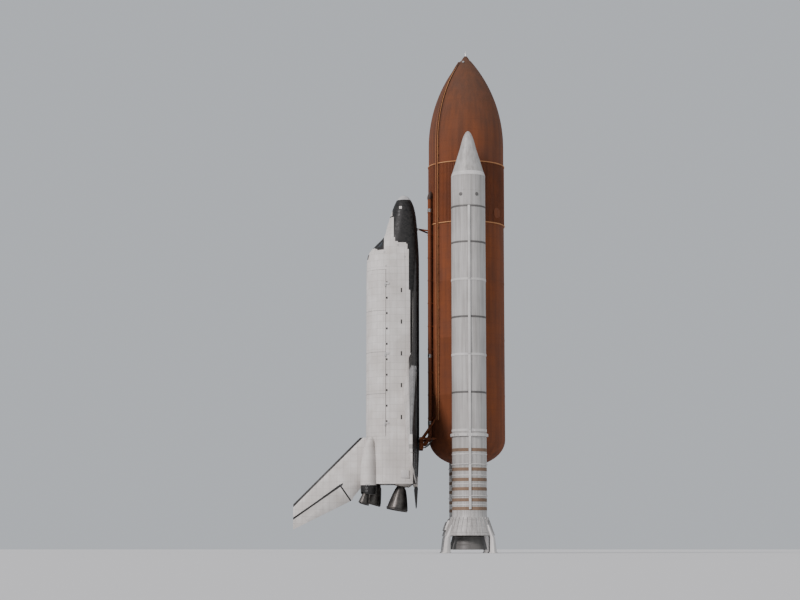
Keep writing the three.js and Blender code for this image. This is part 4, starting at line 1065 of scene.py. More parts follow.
    @staticmethod
    def fin_mask(graph: Graph, station: Socket, height: Socket) -> Socket:
        """The fin's front edge, the band at its hinge line and a painted shadow band along the rudder's foot.

        Args:
            graph: The material's graph.
            station: The station's socket.
            height: The height line's socket.

        Returns:
            The mask.
        """
        rise = graph.math("SUBTRACT", height, Fin.root_height)
        lead = graph.math("SUBTRACT", graph.math("SUBTRACT", station, Fin.root_start), rise)
        edge = graph.math("LESS_THAN", lead, Fin.edge_tiles)
        hinge = graph.math("MULTIPLY_ADD", rise, Fin.hinge_slope(), Fin.hinge_foot)
        ahead = graph.math("SUBTRACT", hinge, station)
        away = graph.math("ABSOLUTE", graph.math("SUBTRACT", ahead, Fin.hinge_band_middle))
        near = graph.math("LESS_THAN", away, Fin.hinge_band_half)
        near = graph.math("MULTIPLY", near, graph.math("GREATER_THAN", height, Fin.rudder_foot))
        # A black strip along the rudder's foot is a painted shadow of the rudder's step.
        aft = graph.math("SUBTRACT", station, Fin.foot_station())
        across = graph.math("MULTIPLY_ADD", aft, Fin.hinge_slope(), height)
        over = graph.math("SUBTRACT", across, Fin.rudder_low)
        low = graph.within(over, 0.0, Fin.foot_band)
        foot = graph.math("MULTIPLY", low, graph.math("LESS_THAN", ahead, 0.0))
        return graph.chain("MAXIMUM", edge, near, foot)


@dataclass(frozen=True)
class Clear:
    """Dark window glass over an unlit cabin."""

    name: str
    tint: Colour = (0.02, 0.026, 0.032, 1.0)

    def build(self, effects: Effects) -> bpy.types.Material:
        """Builds the material.

        Args:
            effects: The shared groups.

        Returns:
            The material.
        """
        surface = Surface(self.name, effects, 0.4, 0.01, 0.1)
        rough = surface.graph.stretch(surface.wear["Patches"], 0.0, 1.0, 0.03, 0.12)
        surface.fill({"Base Color": self.tint, "Transmission Weight": 0.35, "Roughness": rough})
        return surface.material


# Every finish of the stack.
FINISHES = (
    # The tank's foam darkens towards its nose as painted shade.
    Coat("tank_foam", (0.09, 0.023, 0.006, 1), (0.18, 0.046, 0.011, 1), (0.85, 0.95), bump=0.5, grain=0.035,
         depth=0.012, bands=47.0, streak_share=0.5, nose_shade=0.6),
    Coat("fresh_foam", (0.36, 0.15, 0.055, 1), (0.5, 0.25, 0.11, 1), (0.85, 0.95), bump=0.4),
    Coat("fairing", (0.03, 0.014, 0.008, 1), (0.06, 0.025, 0.014, 1), (0.7, 0.85), patch=0.3),
    Coat("booster_paint", grey(0.25, 0.05), grey(0.42, 0.03), (0.4, 0.6), bump=0.06, streak=0.1,
         streak_share=0.6, patch=1.6),
    Coat("booster_light", grey(0.4, 0.03), grey(0.56, 0.03), (0.45, 0.65), bump=0.08, patch=0.8),
    Coat("booster_dark", grey(0.06, 0.05), grey(0.11, 0.05), (0.5, 0.7)),
    # Cork insulation, widened and darkened as painted shade under the raised rings.
    Coat("cork", (0.12, 0.075, 0.048, 1), (0.2, 0.13, 0.085, 1), (0.8, 0.9), bump=0.3),
    Coat("carbon", grey(0.11), grey(0.2), (0.4, 0.55), patch=0.5, bump=0.08),
    # Grey carbon of the nose cap, lightened all over as a painted highlight.
    Coat("nose_carbon", grey(0.36), grey(0.5), (0.35, 0.5), patch=0.4, bump=0.06),
    Coat("dark_metal", grey(0.05, 0.06), grey(0.11, 0.08), (0.32, 0.5), 0.85, patch=0.3),
    Coat("bright_metal", grey(0.42, 0.02), grey(0.6, 0.02), (0.25, 0.4), 0.9, patch=0.3),
    # Near black: real soot and dark joints in places, and painted shade lining recesses, cut openings, vents
    # and thruster insides.
    Coat("soot", grey(0.012), grey(0.03, 0.1), (0.7, 0.9), patch=0.2),
    Coat("cloth_shield", grey(0.4, 0.08), grey(0.58, 0.08), (0.8, 0.9), patch=0.35, bump=0.5, grain=0.05,
         depth=0.01),
    Coat("bay_liner", grey(0.5, 0.03), grey(0.66, 0.03), (0.7, 0.85), patch=0.6, bump=0.3),
    Coat("radiator", grey(0.6), grey(0.78), (0.16, 0.3), 0.9, patch=0.5, bands=20.0),
    Coat("cabin_grey", grey(0.16), grey(0.26), (0.6, 0.75), patch=0.3),
    Coat("seat_cloth", (0.02, 0.05, 0.11, 1), (0.04, 0.08, 0.16, 1), (0.8, 0.9), patch=0.1),
    *(Tiles(f"{layout.value[0]}_tiles", layout) for layout in Layout),
    Clear("window_glass"),
)


def build_finishes() -> dict[str, bpy.types.Material]:
    """Builds every material once, by name."""
    effects = Effects()
    return {finish.name: finish.build(effects) for finish in FINISHES}


@dataclass
class Shop:
    """What every sub-assembly works with: the finishes and the repeating trees."""

    finishes: dict[str, bpy.types.Material] = field(default_factory=build_finishes)
    repeat: Repeat = field(default_factory=Repeat)

    def make(self, shape: Shape, name: str, *finishes: str) -> Piece:
        """Makes a shape's object with finishes given by name."""
        return shape.make(name, [self.finishes[finish] for finish in finishes])

    def ring(
        self,
        shape: Shape,
        name: str,
        finish: str,
        count: int,
        middle: Vector,
        first: float = 0.0,
        step: float | None = None,
    ) -> Piece:
        """Repeats a shape round an upright axis.

        Args:
            shape: The base, placed about the scene's Z axis.
            name: The new object's name.
            finish: Its finish.
            count: Copies.
            middle: A place on the real axis, to which the ring is carried.
            first: Angle of the first copy in degrees.
            step: Angle between copies in degrees, or None for an even ring.

        Returns:
            The ring of copies.
        """
        angles = {"First": math.radians(first), "Step": math.radians(step or 360.0 / count)}
        base, material = self.make(shape, name, finish), self.finishes[finish]
        made = self.repeat.run(base, self.repeat.ring_tree, Count=count, Material=material, **angles)
        made.data.transform(Matrix.Translation(middle))
        return made

    def row(self, shape: Shape, name: str, finish: str, count: int, step: Vector) -> Piece:
        """Repeats a shape along a line.

        Args:
            shape: The first copy.
            name: The new object's name.
            finish: Its finish.
            count: Copies.
            step: Direction and distance in inches from each copy to the next.

        Returns:
            The row of copies.
        """
        base, material = self.make(shape, name, finish), self.finishes[finish]
        offset = [value * INCH for value in step]
        return self.repeat.run(base, self.repeat.row_tree, Count=count, Step=offset, Material=material)

    def metal(self, node: str, finish: str = "bright_metal") -> None:
        """Gives a frame node that stays as it is a finish.

        Args:
            node: The node's name.
            finish: Its finish.
        """
        materials = frame["nodes"][node].data.materials
        materials.clear()
        materials.append(self.finishes[finish])


@dataclass
class Tank:
    """The external tank with its lines and attachments, by tank station and radius."""

    shop: Shop
    radius: float = 165.5
    nose_end: float = 371.0
    ogive_radius: float = 612.0
    ogive_end: float = 763.0
    oxygen_end: float = 852.8
    intertank_end: float = 1123.15
    barrel_end: float = 2058.0
    dome_end: float = 2173.0
    flange: float = 170.0
    flange_height: float = 5.0
    welds: tuple[float, ...] = (1377.0, 1624.0, 1871.0)
    stringer_height: float = 2.2
    stringers: int = 54
    stringer_step: float = 2.5
    thrust_ribs: int = 24
    thrust_step: float = 1.75
    line_angle: float = 26.0
    line_radius: float = 8.5
    line_top: float = 1010.0
    line_bottom: float = 2040.0
    bellows: tuple[float, ...] = (1060.0, 1700.0, 1990.0)
    tray_angle: float = 40.0
    tray_top: float = 380.0
    tray_bottom: float = 1980.0
    nose_fitting: tuple[float, float, float] = (1130.0, 47.0, 5.0)
    beam_side: float = 96.5
    beam_y: float = -198.5
    plate_side: float = 70.0
    steps: int = 160

    # Radius and station.
    nose_fairing = ((20.6, 369.5), (19.4, 368.8), (12.0, 356.0), (5.6, 348.5))
    spike = ((3.4, 349.0), (2.6, 345.0), (1.4, 334.0), (0.9, 322.5))
    # Covers of the aft dome. Columns: angle, tilt from straight down, radius.
    dome_covers = ((0.0, 0.0, 15.0), (200.0, 30.0, 20.0), (70.0, 34.0, 10.0))
    # The feed line's fairing: radius and distance along it.
    line_fairing = ((8.6, -8), (10.5, 0), (10.2, 8), (8.6, 17), (6.0, 25), (2.6, 30))
    # Outline of the cable tray: across and out.
    tray_outline = ((-3.2, -2.2), (3.2, -2.2), (3.2, 1.4), (2.4, 2.2), (-2.4, 2.2), (-3.2, 1.4))

    @property
    def foot(self) -> Vector:
        """The place on the floor under the tank's axis."""
        return Place.tank(0, 0, FLOOR_STATION)

    @staticmethod
    def up(station: float) -> float:
        """Height above the floor of a tank station."""
        return FLOOR_STATION - station

    @staticmethod
    def outward(angle: float) -> Vector:
        """The direction away from the tank's axis at an angle from the orbiter side."""
        turn = math.radians(angle)
        return Vector((math.sin(turn), -math.cos(turn), 0.0))

    def nose_radius(self, station: float) -> float:
        """The radius of the nose at a station."""
        rise = self.ogive_end - station
        return self.radius - self.ogive_radius + math.sqrt(self.ogive_radius**2 - rise**2)

    def build(self) -> None:
        """Builds the whole tank."""
        self.oxygen_tank()
        self.intertank()
        self.hydrogen_tank()
        self.feed_line()
        self.pressure_line()
        self.forward_attach()
        self.aft_attach()

    def oxygen_tank(self) -> None:
        """The pointed tank at the top, with its nose fairing and lightning spike."""
        profile = [(self.radius, self.up(self.oxygen_end)), (self.radius, self.up(self.ogive_end))]
        for station in span(self.ogive_end, self.nose_end, 44)[1:]:
            profile.append((self.nose_radius(station), self.up(station)))
        profile += [(radius, self.up(station)) for radius, station in self.nose_fairing]
        whole = Shape().turned(profile, self.foot, UP, self.steps)
        whole.turned([(radius, self.up(station)) for radius, station in self.spike], self.foot, UP, 24, 1)
        out = self.nose_radius(384.0)
        for angle in (70.0, 250.0):
            whole.rod(Place.tank(out - 3, angle, 384), Place.tank(out + 2.6, angle, 380), 5.5, 20, 1)
        made = self.shop.make(whole, "oxygen_tank_skin", "tank_foam", "bright_metal")
        Bench.place(made, "oxygen_tank", "tank_foam")

    def rib(self, width: float, height: float) -> Shape:
        """A raised stringer of the intertank about the scene's axis, at angle zero.

        Args:
            width: Its width at the foot.
            height: How far it stands out.

        Returns:
            Its shape.
        """
        rings = []
        for station in (self.intertank_end - self.flange_height, self.oxygen_end + self.flange_height):
            ring = []
            for out, share in ((-1.0, -1.0), (height, -0.62), (height, 0.62), (-1.0, 1.0)):
                ring.append(Vector((self.radius + out, width / 2 * share, self.up(station))) * INCH)
            rings.append(ring)
        return Shape().loft(rings)

    def intertank(self) -> None:
        """The ribbed ring between the two tanks, with flanges and smoother thrust panels."""
        low, high = self.up(self.intertank_end), self.up(self.oxygen_end)
        shape = Shape().turned([(self.radius, low), (self.radius, high)], self.foot, UP, self.steps)
        for start in (low, high - self.flange_height):
            bead = [(self.radius - 1, start), (self.flange - 1, start + 0.4), (self.flange, start + 1.6)]
            mirrored = [(r, 2 * start + self.flange_height - z) for r, z in reversed(bead)]
            shape.turned(bead + mirrored, self.foot, UP, self.steps, 1)
        door = [(22, -2.5), (23, -1.0), (23, 0.4), (22, 1.0)]
        shape.turned(door, Place.tank(self.radius + 1.6, 141.0, 1075.0), self.outward(141.0), 40)
        pieces = [self.shop.make(shape, "intertank_body", "tank_foam", "fresh_foam")]
        stringer = (5.0, self.stringer_height, self.stringers, self.stringer_step)
        thrust = (2.4, self.stringer_height + 0.4, self.thrust_ribs, self.thrust_step)
        # Columns: name, middle of the run in degrees, and the rib's width, height, count and step.
        runs = (
            ("stringers_near", 90.0, stringer),
            ("stringers_far", 270.0, stringer),
            ("thrust_ribs_left", 180.0, thrust),
            ("thrust_ribs_right", 0.0, thrust),
        )
        for name, middle, (width, height, count, step) in runs:
            first = middle - step * (count - 1) / 2
            rib = self.rib(width, height)
            pieces.append(self.shop.ring(rib, name, "tank_foam", count, self.foot, first, step))
        Bench.assemble("intertank", "tank_foam", pieces)

    def hydrogen_tank(self) -> None:
        """The long lower tank with its weld lands, aft dome and manhole covers."""
        deep = self.dome_end - self.barrel_end
        profile = []
        for degrees in span(2.0, 90.0, 30):
            turn = math.radians(degrees)
            profile.append((self.radius * math.sin(turn), self.up(self.barrel_end + deep * math.cos(turn))))
        for weld in reversed(self.welds):
            for out, rise in ((0.0, -4.0), (0.55, -2.5), (0.55, 2.5), (0.0, 4.0)):
                profile.append((self.radius + out, self.up(weld) + rise))
        profile.append((self.radius, self.up(self.intertank_end)))
        shape = Shape().turned(profile, self.foot, UP, self.steps)
        for angle, tilt, radius in self.dome_covers:
            sine, cosine = math.sin(math.radians(tilt)), math.cos(math.radians(tilt))
            out = self.outward(angle) * sine + DOWN * cosine
            reach = self.radius * sine**2 + deep * cosine**2
            place = Place.tank(0, 0, self.barrel_end) + out * ((reach - 4) * INCH)
            shape.turned([(radius, 0), (radius, 5.0), (radius - 1, 6.0), (radius * 0.6, 6.6)], place, out, 32)
        Bench.place(self.shop.make(shape, "hydrogen_tank_skin", "tank_foam"), "hydrogen_tank", "tank_foam")

    def feed_line(self) -> None:
        """The oxygen feed line down the side, with bellows, brackets and its fairing at the top."""
        out = self.flange + 3 + self.line_radius

        def beside(station: float, extra: float = 0.0) -> Vector:
            """A place on the line at a station, moved out by a distance."""
            return Place.tank(out + extra, self.line_angle, station)

        plate = Place.stack(self.plate_side, self.beam_y + 9, 2086)
        bottom, corner = beside(self.line_bottom), beside(self.line_bottom + 16)
        path = [beside(station) for station in span(self.line_top, self.line_bottom - 20, 30)]
        for share in span(0.12, 1.0, 10):
            path.append(bottom.lerp(corner, share).lerp(corner.lerp(plate, share), share))
        shape = Shape().tube(path, self.line_radius, 32)
        head = beside(self.line_top - 6)
        along = (beside(self.line_top - 36, -6) - head).normalized()
        shape.turned(self.line_fairing, head, along, 32, 1)
        waves = [(self.line_radius + (1.2 if i % 2 else 0.2), i * 1.3 - 7.8) for i in range(13)]
        for station in self.bellows:
            shape.turned(waves, beside(station), UP, 32, 2)
        pieces = [self.shop.make(shape, "feed_line_tube", "tank_foam", "fairing", "bright_metal")]
        first = self.line_top + 60
        bracket = Shape().rod(Place.tank(self.radius - 2, self.line_angle, first), beside(first), 3.2, 16)
        bracket.turned([(9.6, -2.2), (9.9, -1.4), (9.9, 1.4), (9.6, 2.2)], beside(first), UP, 32)
        pieces.append(self.shop.row(bracket, "line_brackets", "tank_foam", 10, DOWN * 100))
        Bench.assemble("feed_line", "tank_foam", pieces)

    def pressure_line(self) -> None:
        """The cable tray and the thin pressure lines that follow the tank's side."""
        reach = 1.2 + 3.0 + self.flange - self.radius
        stations = span(self.tray_top, self.ogive_end, 24) + span(self.ogive_end, self.tray_bottom, 24)[1:]
        turn = math.radians(self.tray_angle)
        tangent, outward = Vector((math.cos(turn), math.sin(turn), 0.0)), self.outward(self.tray_angle)

        def beside(angle: float, extra: float) -> list[Vector]:
            """Places along the side at an angle and a distance from the tray's middle.

            Args:
                angle: Degrees round the tank.
                extra: How far outside the tray's middle.

            Returns:
                A place at each station.
            """
            places = []
            for station in stations:
                skin = self.nose_radius(station) if station < self.ogive_end else self.radius
                places.append(Place.tank(skin + reach + extra, angle, station))
            return places

        def around(place: Vector, corners: Sequence[Pair]) -> Ring:
            """Places by inches across and out from a place."""
            return [place + tangent * (across * INCH) + outward * (out * INCH) for across, out in corners]

        shape = Shape().loft([around(place, self.tray_outline) for place in beside(self.tray_angle, 0.0)])
        for away in (2.2, -2.2):
            shape.tube(beside(self.tray_angle + away, -1.6), 1.1, 12, 1)
        place = Place.tank(self.radius - 1, self.tray_angle, self.ogive_end + 15)
        corners = ((-8.5, 0.0), (8.5, 0.0), (7.5, reach - 1.5), (-7.5, reach - 1.5))
        foot = Shape().loft([around(place + UP * (rise * INCH), corners) for rise in (-2.0, 2.0)])
        pieces = [
            self.shop.make(shape, "tray_run", "tank_foam", "fresh_foam"),
            self.shop.row(foot, "tray_feet", "tank_foam", 30, DOWN * 40),
        ]
        Bench.assemble("pressure_line", "tank_foam", pieces)

    @staticmethod
    def belly_y(station: float, shift: float = 0.0) -> float:
        """How far behind the tank's axis the orbiter's belly is at a tank station, less a fine gap."""
        belly = Fuselage.belly_at(station - ORBITER_STATION + shift)
        return HEIGHT_LINE - TANK_TO_LINE - belly + CONTACT_GAP

    def forward_attach(self) -> None:
        """The two-legged strut that carries the orbiter's nose."""
        station, spread, half = self.nose_fitting
        belly = self.belly_y(station, half)
        top = Place.stack(0, belly + 5, station)
        fitting = Shape().box(
            Place.stack(-half, belly, station + half), Place.stack(half, belly + 9, station - half)
        )
        pieces = [Bench.bevel(self.shop.make(fitting, "nose_fitting", "bright_metal"), 0.8)]
        legs = Shape()
        for side in Side:
            foot = Place.stack(side.value * spread, 12 - self.radius, station + 16)
            legs.rod(top, foot, 3.4, 24)
            cuff = [(6.5, -14), (7.5, -12), (7.5, -6), (5.0, -3)]
            legs.turned(cuff, foot, (foot - top).normalized(), 28, 1)
        ends = [Place.stack(x, belly + 5, station) for x in (-half - 1.5, half + 1.5)]
        legs.rod(ends[0], ends[1], 4.2, 24, 1)
        pieces.append(self.shop.make(legs, "nose_legs", "tank_foam", "bright_metal"))
        Bench.assemble("forward_attach", "tank_foam", pieces)

    def aft_attach(self) -> None:
        """The cross beam, struts and umbilical plates under the orbiter's tail."""
        station, side, y = self.barrel_end, self.beam_side, self.beam_y
        belly = self.belly_y(station)

        def at(x: float, y: float, rise: float = 0.0) -> Vector:
            """A place by inches across and from the tank's axis, and above the beam."""
            return Place.stack(x, y, station - rise)

        struts = Shape().rod(at(-side, y), at(side, y), 7.0, 32)
        blocks = Shape()
        for sign in (-1, 1):
            beam_end, thrust = at(sign * side, y), at(sign * 100, -108, station - 1930)
            struts.rod(beam_end, at(sign * 84, -120), 5.0, 28)
            struts.rod(beam_end, thrust, 4.5, 28)
            shoe = at(sign * 99, -122, station - 1940)
            struts.turned([(9, 0), (9.5, 1.5), (8.5, 8), (5, 12)], shoe, (beam_end - thrust).normalized(), 28)
            # Columns: middle, half width, lowest and highest rise, and how far past the beam it goes.
            for x, half, low, high, past in ((side, 6, -6, 6, 6), (self.plate_side, 13, -44, 2, 7)):
                blocks.box(at(sign * x - half, belly, low), at(sign * x + half, y + past, high))
            for across in (-7.0, 0.0, 7.0):
                x = sign * self.plate_side + across
                bends = [(y + 5, -30), (y + 16, -31), (y + 30, -22), (-146, 4)]
                struts.tube([at(x, back, rise) for back, rise in bends], 2.2, 16, 1)
        struts.rod(at(-side, y), at(40, -140), 4.0, 24)
        pieces = [
            self.shop.make(struts, "aft_struts", "tank_foam", "booster_dark"),
            Bench.bevel(self.shop.make(blocks, "aft_blocks", "tank_foam"), 0.9),
        ]
        Bench.assemble("aft_attach", "tank_foam", pieces)


@dataclass
class Booster:
    """One solid-fuel booster, by booster station and radius."""

    shop: Shop
    side: Side
    radius: float = 73.0
    tip: float = 200.0
    cap_end: float = 275.0
    cap_radius: float = 34.0
    frustum_end: float = 401.0
    skirt_start: float = 531.5
    motor_end: float = 1834.6
    skirt_end: float = 1930.64
    skirt_radius: float = 106.0
    skirt_wall: float = 3.0
    skirt_flare: float = 14.0
    attach_ring: float = 1511.0
    pivot: float = 1840.0
    exit: float = 1989.6
    exit_radius: float = 74.8
    throat: float = 30.0
    throat_radius: float = 28.0
    bell_wall: float = 3.5
    bell_rings: tuple[float, ...] = (62.0, 96.0, 128.0)
    field_joints: tuple[float, ...] = (851.5, 1171.5, 1491.5)
    post_angles: tuple[float, ...] = (35.0, -35.0, 145.0, 215.0)
    steps: int = 112

    # Raised bands of the motor case. Columns: half width, height, mark, stations.
    bands = (
        (5.0, 1.4, 2, field_joints),
        (4.2, 0.9, 1, (691.5, 1011.5, 1331.5)),
        (1.8, 4.0, 2, (1634.0, 1765.0)),
        (2.0, 1.5, 2, (1592.0, 1680.0, 1716.0, 1803.0)),
        # Cork bands, partly real cork and partly painted shade under the raised rings.
        (7.0, 0.6, 3, (1574.0, 1655.0, 1698.0, 1737.0, 1783.0, 1819.0)),
        (4.0, 0.9, 1, (537.0,)),
        (6.0, 7.0, 2, (attach_ring,)),
    )
    # Rod and nut of a post. Columns: radius and height of both ends, its own radius, its sides.
    post_nuts = ((124, 4, 121, 11, 2.4, 6), (113.5, 9, 117, 9, 3.2, 24))
    # Square rings of a hold-down post. Columns: height, middle radius, width.
    post_rings = (
        (0.0, 118.0, 26.0),
        (5.0, 118.0, 26.0),
        (5.1, 117.5, 21.0),
        (65.36, 113.0, 15.0),
        (75.36, 107.5, 14.0),
        (117.36, 91.0, 7.0),
    )
    # A separation motor's outline: radius and distance along it.
    motor_outline = ((4.5, -18), (6.4, -16), (6.4, 14), (5.6, 15), (4.0, 16), (6.6, 24), (6.2, 24), (3.6, 16))
    # The stiffening rings of the aft skirt: raised by and shifted by, and their heights over the rim.
    skirt_ring = ((0.0, 1.6), (1.1, 1.1), (1.1, -1.1), (0.0, -1.6))
    skirt_rings: tuple[float, ...] = (66.0, 40.0, 14.0)

    @staticmethod
    def up(station: float) -> float:
        """Height above the floor of a booster station."""
        return FLOOR_STATION - BOOSTER_STATION - station

    @property
    def foot(self) -> Vector:
        """The place on the floor under the booster's axis."""
        return self.at(0, 0, FLOOR_STATION - BOOSTER_STATION)

    def at(self, x: float, y: float, station: float) -> Vector:
        """A place by inches from the booster's axis, x away from the tank, and a station."""
        return Place.booster(self.side, self.side.value * x, y, station)

    def ringed(self, shape: Shape, name: str, finish: str, count: int, *angles: float) -> Piece:
        """Repeats a shape round the booster's axis, from a first angle and by a step if they are given."""
        return self.shop.ring(shape, name, finish, count, self.foot, *angles)

    def turned(self, shape: Shape, profile: Sequence[Pair], mark: int = 0, wrap: bool = False) -> Shape:
        """Adds a body about the booster's axis, by radius and height above the floor."""
        return shape.turned(profile, self.foot, UP, self.steps, mark, wrap)

    def assemble(self, part: str, *pieces: Piece) -> None:
        """Joins pieces into the skin of one of this booster's nodes."""
        side = self.side.label
        Bench.assemble(f"{side}_booster_{part}", "booster_paint", pieces, f"{side}_{part}_skin")

    def build(self) -> None:
        """Builds the whole booster."""
        self.nose()
        self.forward_skirt()
        self.motor()
        self.aft_skirt()
        self.nozzle()
        self.shop.metal(f"{self.side.label}_booster_gimbal")

    def nose(self) -> None:
        """The nose cap and frustum, with the band at its foot and the separation motors' covers."""
        slope = (self.radius - self.cap_radius) / (self.frustum_end - self.cap_end)
        low = self.up(self.frustum_end)

        def frustum(station: float, raised: float = 0.0) -> Pair:
            """Radius and height of the frustum's skin at a station."""
            return self.radius - slope * (self.frustum_end - station) + raised, self.up(station)

        band = [(self.radius - 4.0, low), (self.radius, low)]
        band += [(self.radius, low + 3), (self.radius - 0.9, low + 4.2)]
        band += [frustum(392.0), frustum(391.0, 0.5), frustum(385.0, 0.5), frustum(384.0)]
        band.append((self.radius - 8.0, self.up(384.0)))
        profile = [(self.radius - 2.0, low + 1), frustum(386.0)]
        profile += [frustum(278.0), frustum(277.0, 0.7), frustum(275.5, 0.7)]
        for share in span(1.0, 0.004, 22):
            station = self.tip + (self.cap_end - self.tip) * share
            profile.append((self.cap_radius * share**0.5, self.up(station)))
        shape = self.turned(Shape(), profile)
        self.turned(shape, band, 1, wrap=True)
        out, height = frustum(372.0)
        normal = Vector((1.0, 0.0, slope)).normalized()
        rim = [(5.6, -2.0), (5.6, 0.5), (4.8, 0.9), (4.6, 0.3)]
        cover = Shape().turned(rim, Vector((out, 0.0, height)) * INCH, normal, 20)
        first = -90.0 - self.side.value * 28.0 - 18.0
        self.assemble(
            "nose",
            self.shop.make(shape, "nose_body", "booster_paint", "booster_light"),
            self.ringed(cover, "motor_covers", "booster_dark", 4, first, 12.0),
        )

    def forward_skirt(self) -> None:
        """The forward skirt with the fitting that pushes on the tank."""
        low, high = self.up(self.skirt_start), self.up(self.frustum_end)
        profile = [(self.radius, low)]
        for start, end in ((low + 0.3, low + 3.5), (low + 62, low + 64), (high - 4, high - 0.8)):
            for raised, height in ((0.0, start), (0.5, start + 0.4), (0.5, end - 0.4), (0.0, end)):
                profile.append((self.radius + raised, height))
        profile.append((self.radius, high))
        shape = self.turned(Shape(), profile)
        reach = BOOSTER_OFFSET - Tank.radius - 2.6 - CONTACT_GAP
        fitting = Shape().box(self.at(8 - self.radius, -10, 454), self.at(-reach, 10, 430))
        for y in (-34.0, 34.0):
            out = math.sqrt(self.radius**2 - y**2)
            axis = Vector((self.side.value * out, y, 0.0)).normalized()
            shape.turned([(8.0, -2), (8.0, 0.6), (7.2, 0.9)], self.at(out, y, 486), axis, 28, 1)
        self.assemble(
            "forward_skirt",
            self.shop.make(shape, "skirt_body", "booster_paint", "booster_dark"),
            Bench.bevel(self.shop.make(fitting, "thrust_fitting", "booster_dark"), 1.0),
        )

    def motor(self) -> None:
        """The motor case with its joints, rings, struts and systems tunnel."""
        low, high = self.up(self.motor_end), self.up(self.skirt_start)
        shape = self.turned(Shape(), [(self.radius, low), (self.radius, high)])
        bands = sorted((station, *row) for *row, stations in self.bands for station in stations)
        for station, half, out, mark in bands:
            middle, soft = self.up(station), min(0.5, half * 0.3)
            side = [(-1, -half), (out - soft, -half), (out, soft - half)]
            side += [(raised, -rise) for raised, rise in reversed(side)]
            band = [(self.radius + raised, middle + rise) for raised, rise in side]
            self.turned(shape, band, mark, wrap=True)
        tunnel = Shape()
        stops = {station for station, _, out, _ in bands if out > 1.6}
        stops = sorted(stops | {self.motor_end - 12, self.skirt_start + 4, *self.field_joints})
        gap = 0.25
        for start, end in zip(stops, stops[1:]):
            tunnel.box(self.at(self.radius - 4, -5, end - gap), self.at(self.radius + 6, 5, start + gap))
        self.assemble(
            "motor",
            self.shop.make(shape, "case_body", "booster_paint", "booster_dark", "booster_light", "cork"),
            Bench.bevel(self.shop.make(tunnel, "systems_tunnel", "booster_light"), 1.1),
            self.struts(),
            *self.pins(),
        )

    def struts(self) -> Piece:
        """The struts from the attach ring to the tank, with their end covers."""
        shape = Shape()
        for y in (-62.0, 62.0):
            start = self.at(-44, y * 0.92, self.attach_ring)
            end = self.at(140 - BOOSTER_OFFSET, y * 1.1, self.attach_ring)
            shape.rod(start, start.lerp(end, 0.88), 3.6, 24)
            cover = [(4.0, 0), (5.6, 1), (5.6, 9), (4.0, 10)]
            shape.turned(cover, start.lerp(end, 0.3), (end - start).normalized(), 24, 1)
        return self.shop.make(shape, "tank_struts", "booster_paint", "booster_dark")

    def pins(self) -> list[Piece]:
        """The rings of pins at the field joints and of studs on the attach ring."""
        made = []
        for i, station in enumerate(self.field_joints):
            place = Vector((self.radius + 1.2, 0.0, self.up(station))) * INCH
            pin = Shape().turned([(0.55, 0), (0.55, 0.4), (0.35, 0.55)], place, Vector((1, 0, 0)), 8)
            made.append(self.ringed(pin, f"joint_pins_{i}", "bright_metal", 90))
        corner = Vector((self.radius + 6.6, -1.3, self.up(self.attach_ring + 4)))
        stud = Shape().box(corner * INCH, (corner + Vector((0.9, 2.6, 8.0))) * INCH)
        return [*made, self.ringed(stud, "ring_studs", "bright_metal", 24, 7.5)]

    def aft_skirt(self) -> None:
        """The flared skirt with its rings, hold-down posts, separation motors and thermal curtain."""
        top, bottom = self.up(self.motor_end), self.up(self.skirt_end)
        flare, rim, wall = top - self.skirt_flare, self.skirt_radius, self.skirt_wall
        slope = (rim - self.radius) / (flare - bottom)
        outline = [(self.radius, top - 0.05), (self.radius, flare)]
        for rise in self.skirt_rings:
            out = self.radius + slope * (flare - bottom - rise)
            for raised, shift in self.skirt_ring:
                outline.append((out - slope * shift + raised, bottom + rise + shift))
        outline += [(rim - 0.4, bottom + 2.5), (rim, bottom + 1.5), (rim, bottom), (rim - wall, bottom)]
        outline += [(self.radius - wall, top - 18), (self.radius - wall, top - 0.05)]
        height = bottom + 46
        place = Vector((self.radius + slope * (flare - height) + 6.5, 0.0, height)) * INCH
        motor = Shape().turned(self.motor_outline, place, Vector((slope, 0.0, -1.0)).normalized(), 24)
        first = -90.0 - self.side.value * 30.0 - 15.0
        rings = []
        for z, low, high in ((bottom + 4, 100.0, 105.6), (bottom + 76, 76.0, 79.4)):
            corners = ((low, -0.6), (high, -0.6), (high, 0.6), (low, 0.6))
            rings.append([Vector((x, y, z)) * INCH for x, y in corners])
        self.assemble(
            "aft_skirt",
            self.shop.make(self.turned(Shape(), outline, wrap=True), "skirt_shell", "booster_paint"),
            self.posts(),
            self.curtain(),
            self.ringed(motor, "separation_motors", "booster_light", 4, first, 10.0),
            self.ringed(Shape().loft(rings), "skirt_gussets", "booster_paint", 28, 3.0),
        )

    def posts(self) -> Piece:
        """The four hold-down posts under the skirt, with their pads and nuts."""
        shape, nuts = Shape(), Shape()
        for degrees in self.post_angles:
            turn = math.radians(degrees)
            out = Vector((-math.sin(turn), math.cos(turn), 0.0))
            across = Vector((math.cos(turn), math.sin(turn), 0.0))
            rings = []
            for z, middle, width in self.post_rings:
                ring = []
                for a, b in ((-1, -1), (1, -1), (1, 1), (-1, 1)):
                    place = out * (middle + b * width / 2) + across * (a * width / 2)
                    ring.append(self.foot + (place + UP * z) * INCH)
                rings.append(ring)
            shape.loft(rings)
            for first, low, last, high, radius, sides in self.post_nuts:
                start = self.foot + (out * first + UP * low) * INCH
                nuts.rod(start, self.foot + (out * last + UP * high) * INCH, radius, sides)
        body = Bench.bevel(self.shop.make(shape, "post_bodies", "booster_light"), 0.8)
        return Bench.join("posts", [body, self.shop.make(nuts, "post_nuts", "dark_metal")])

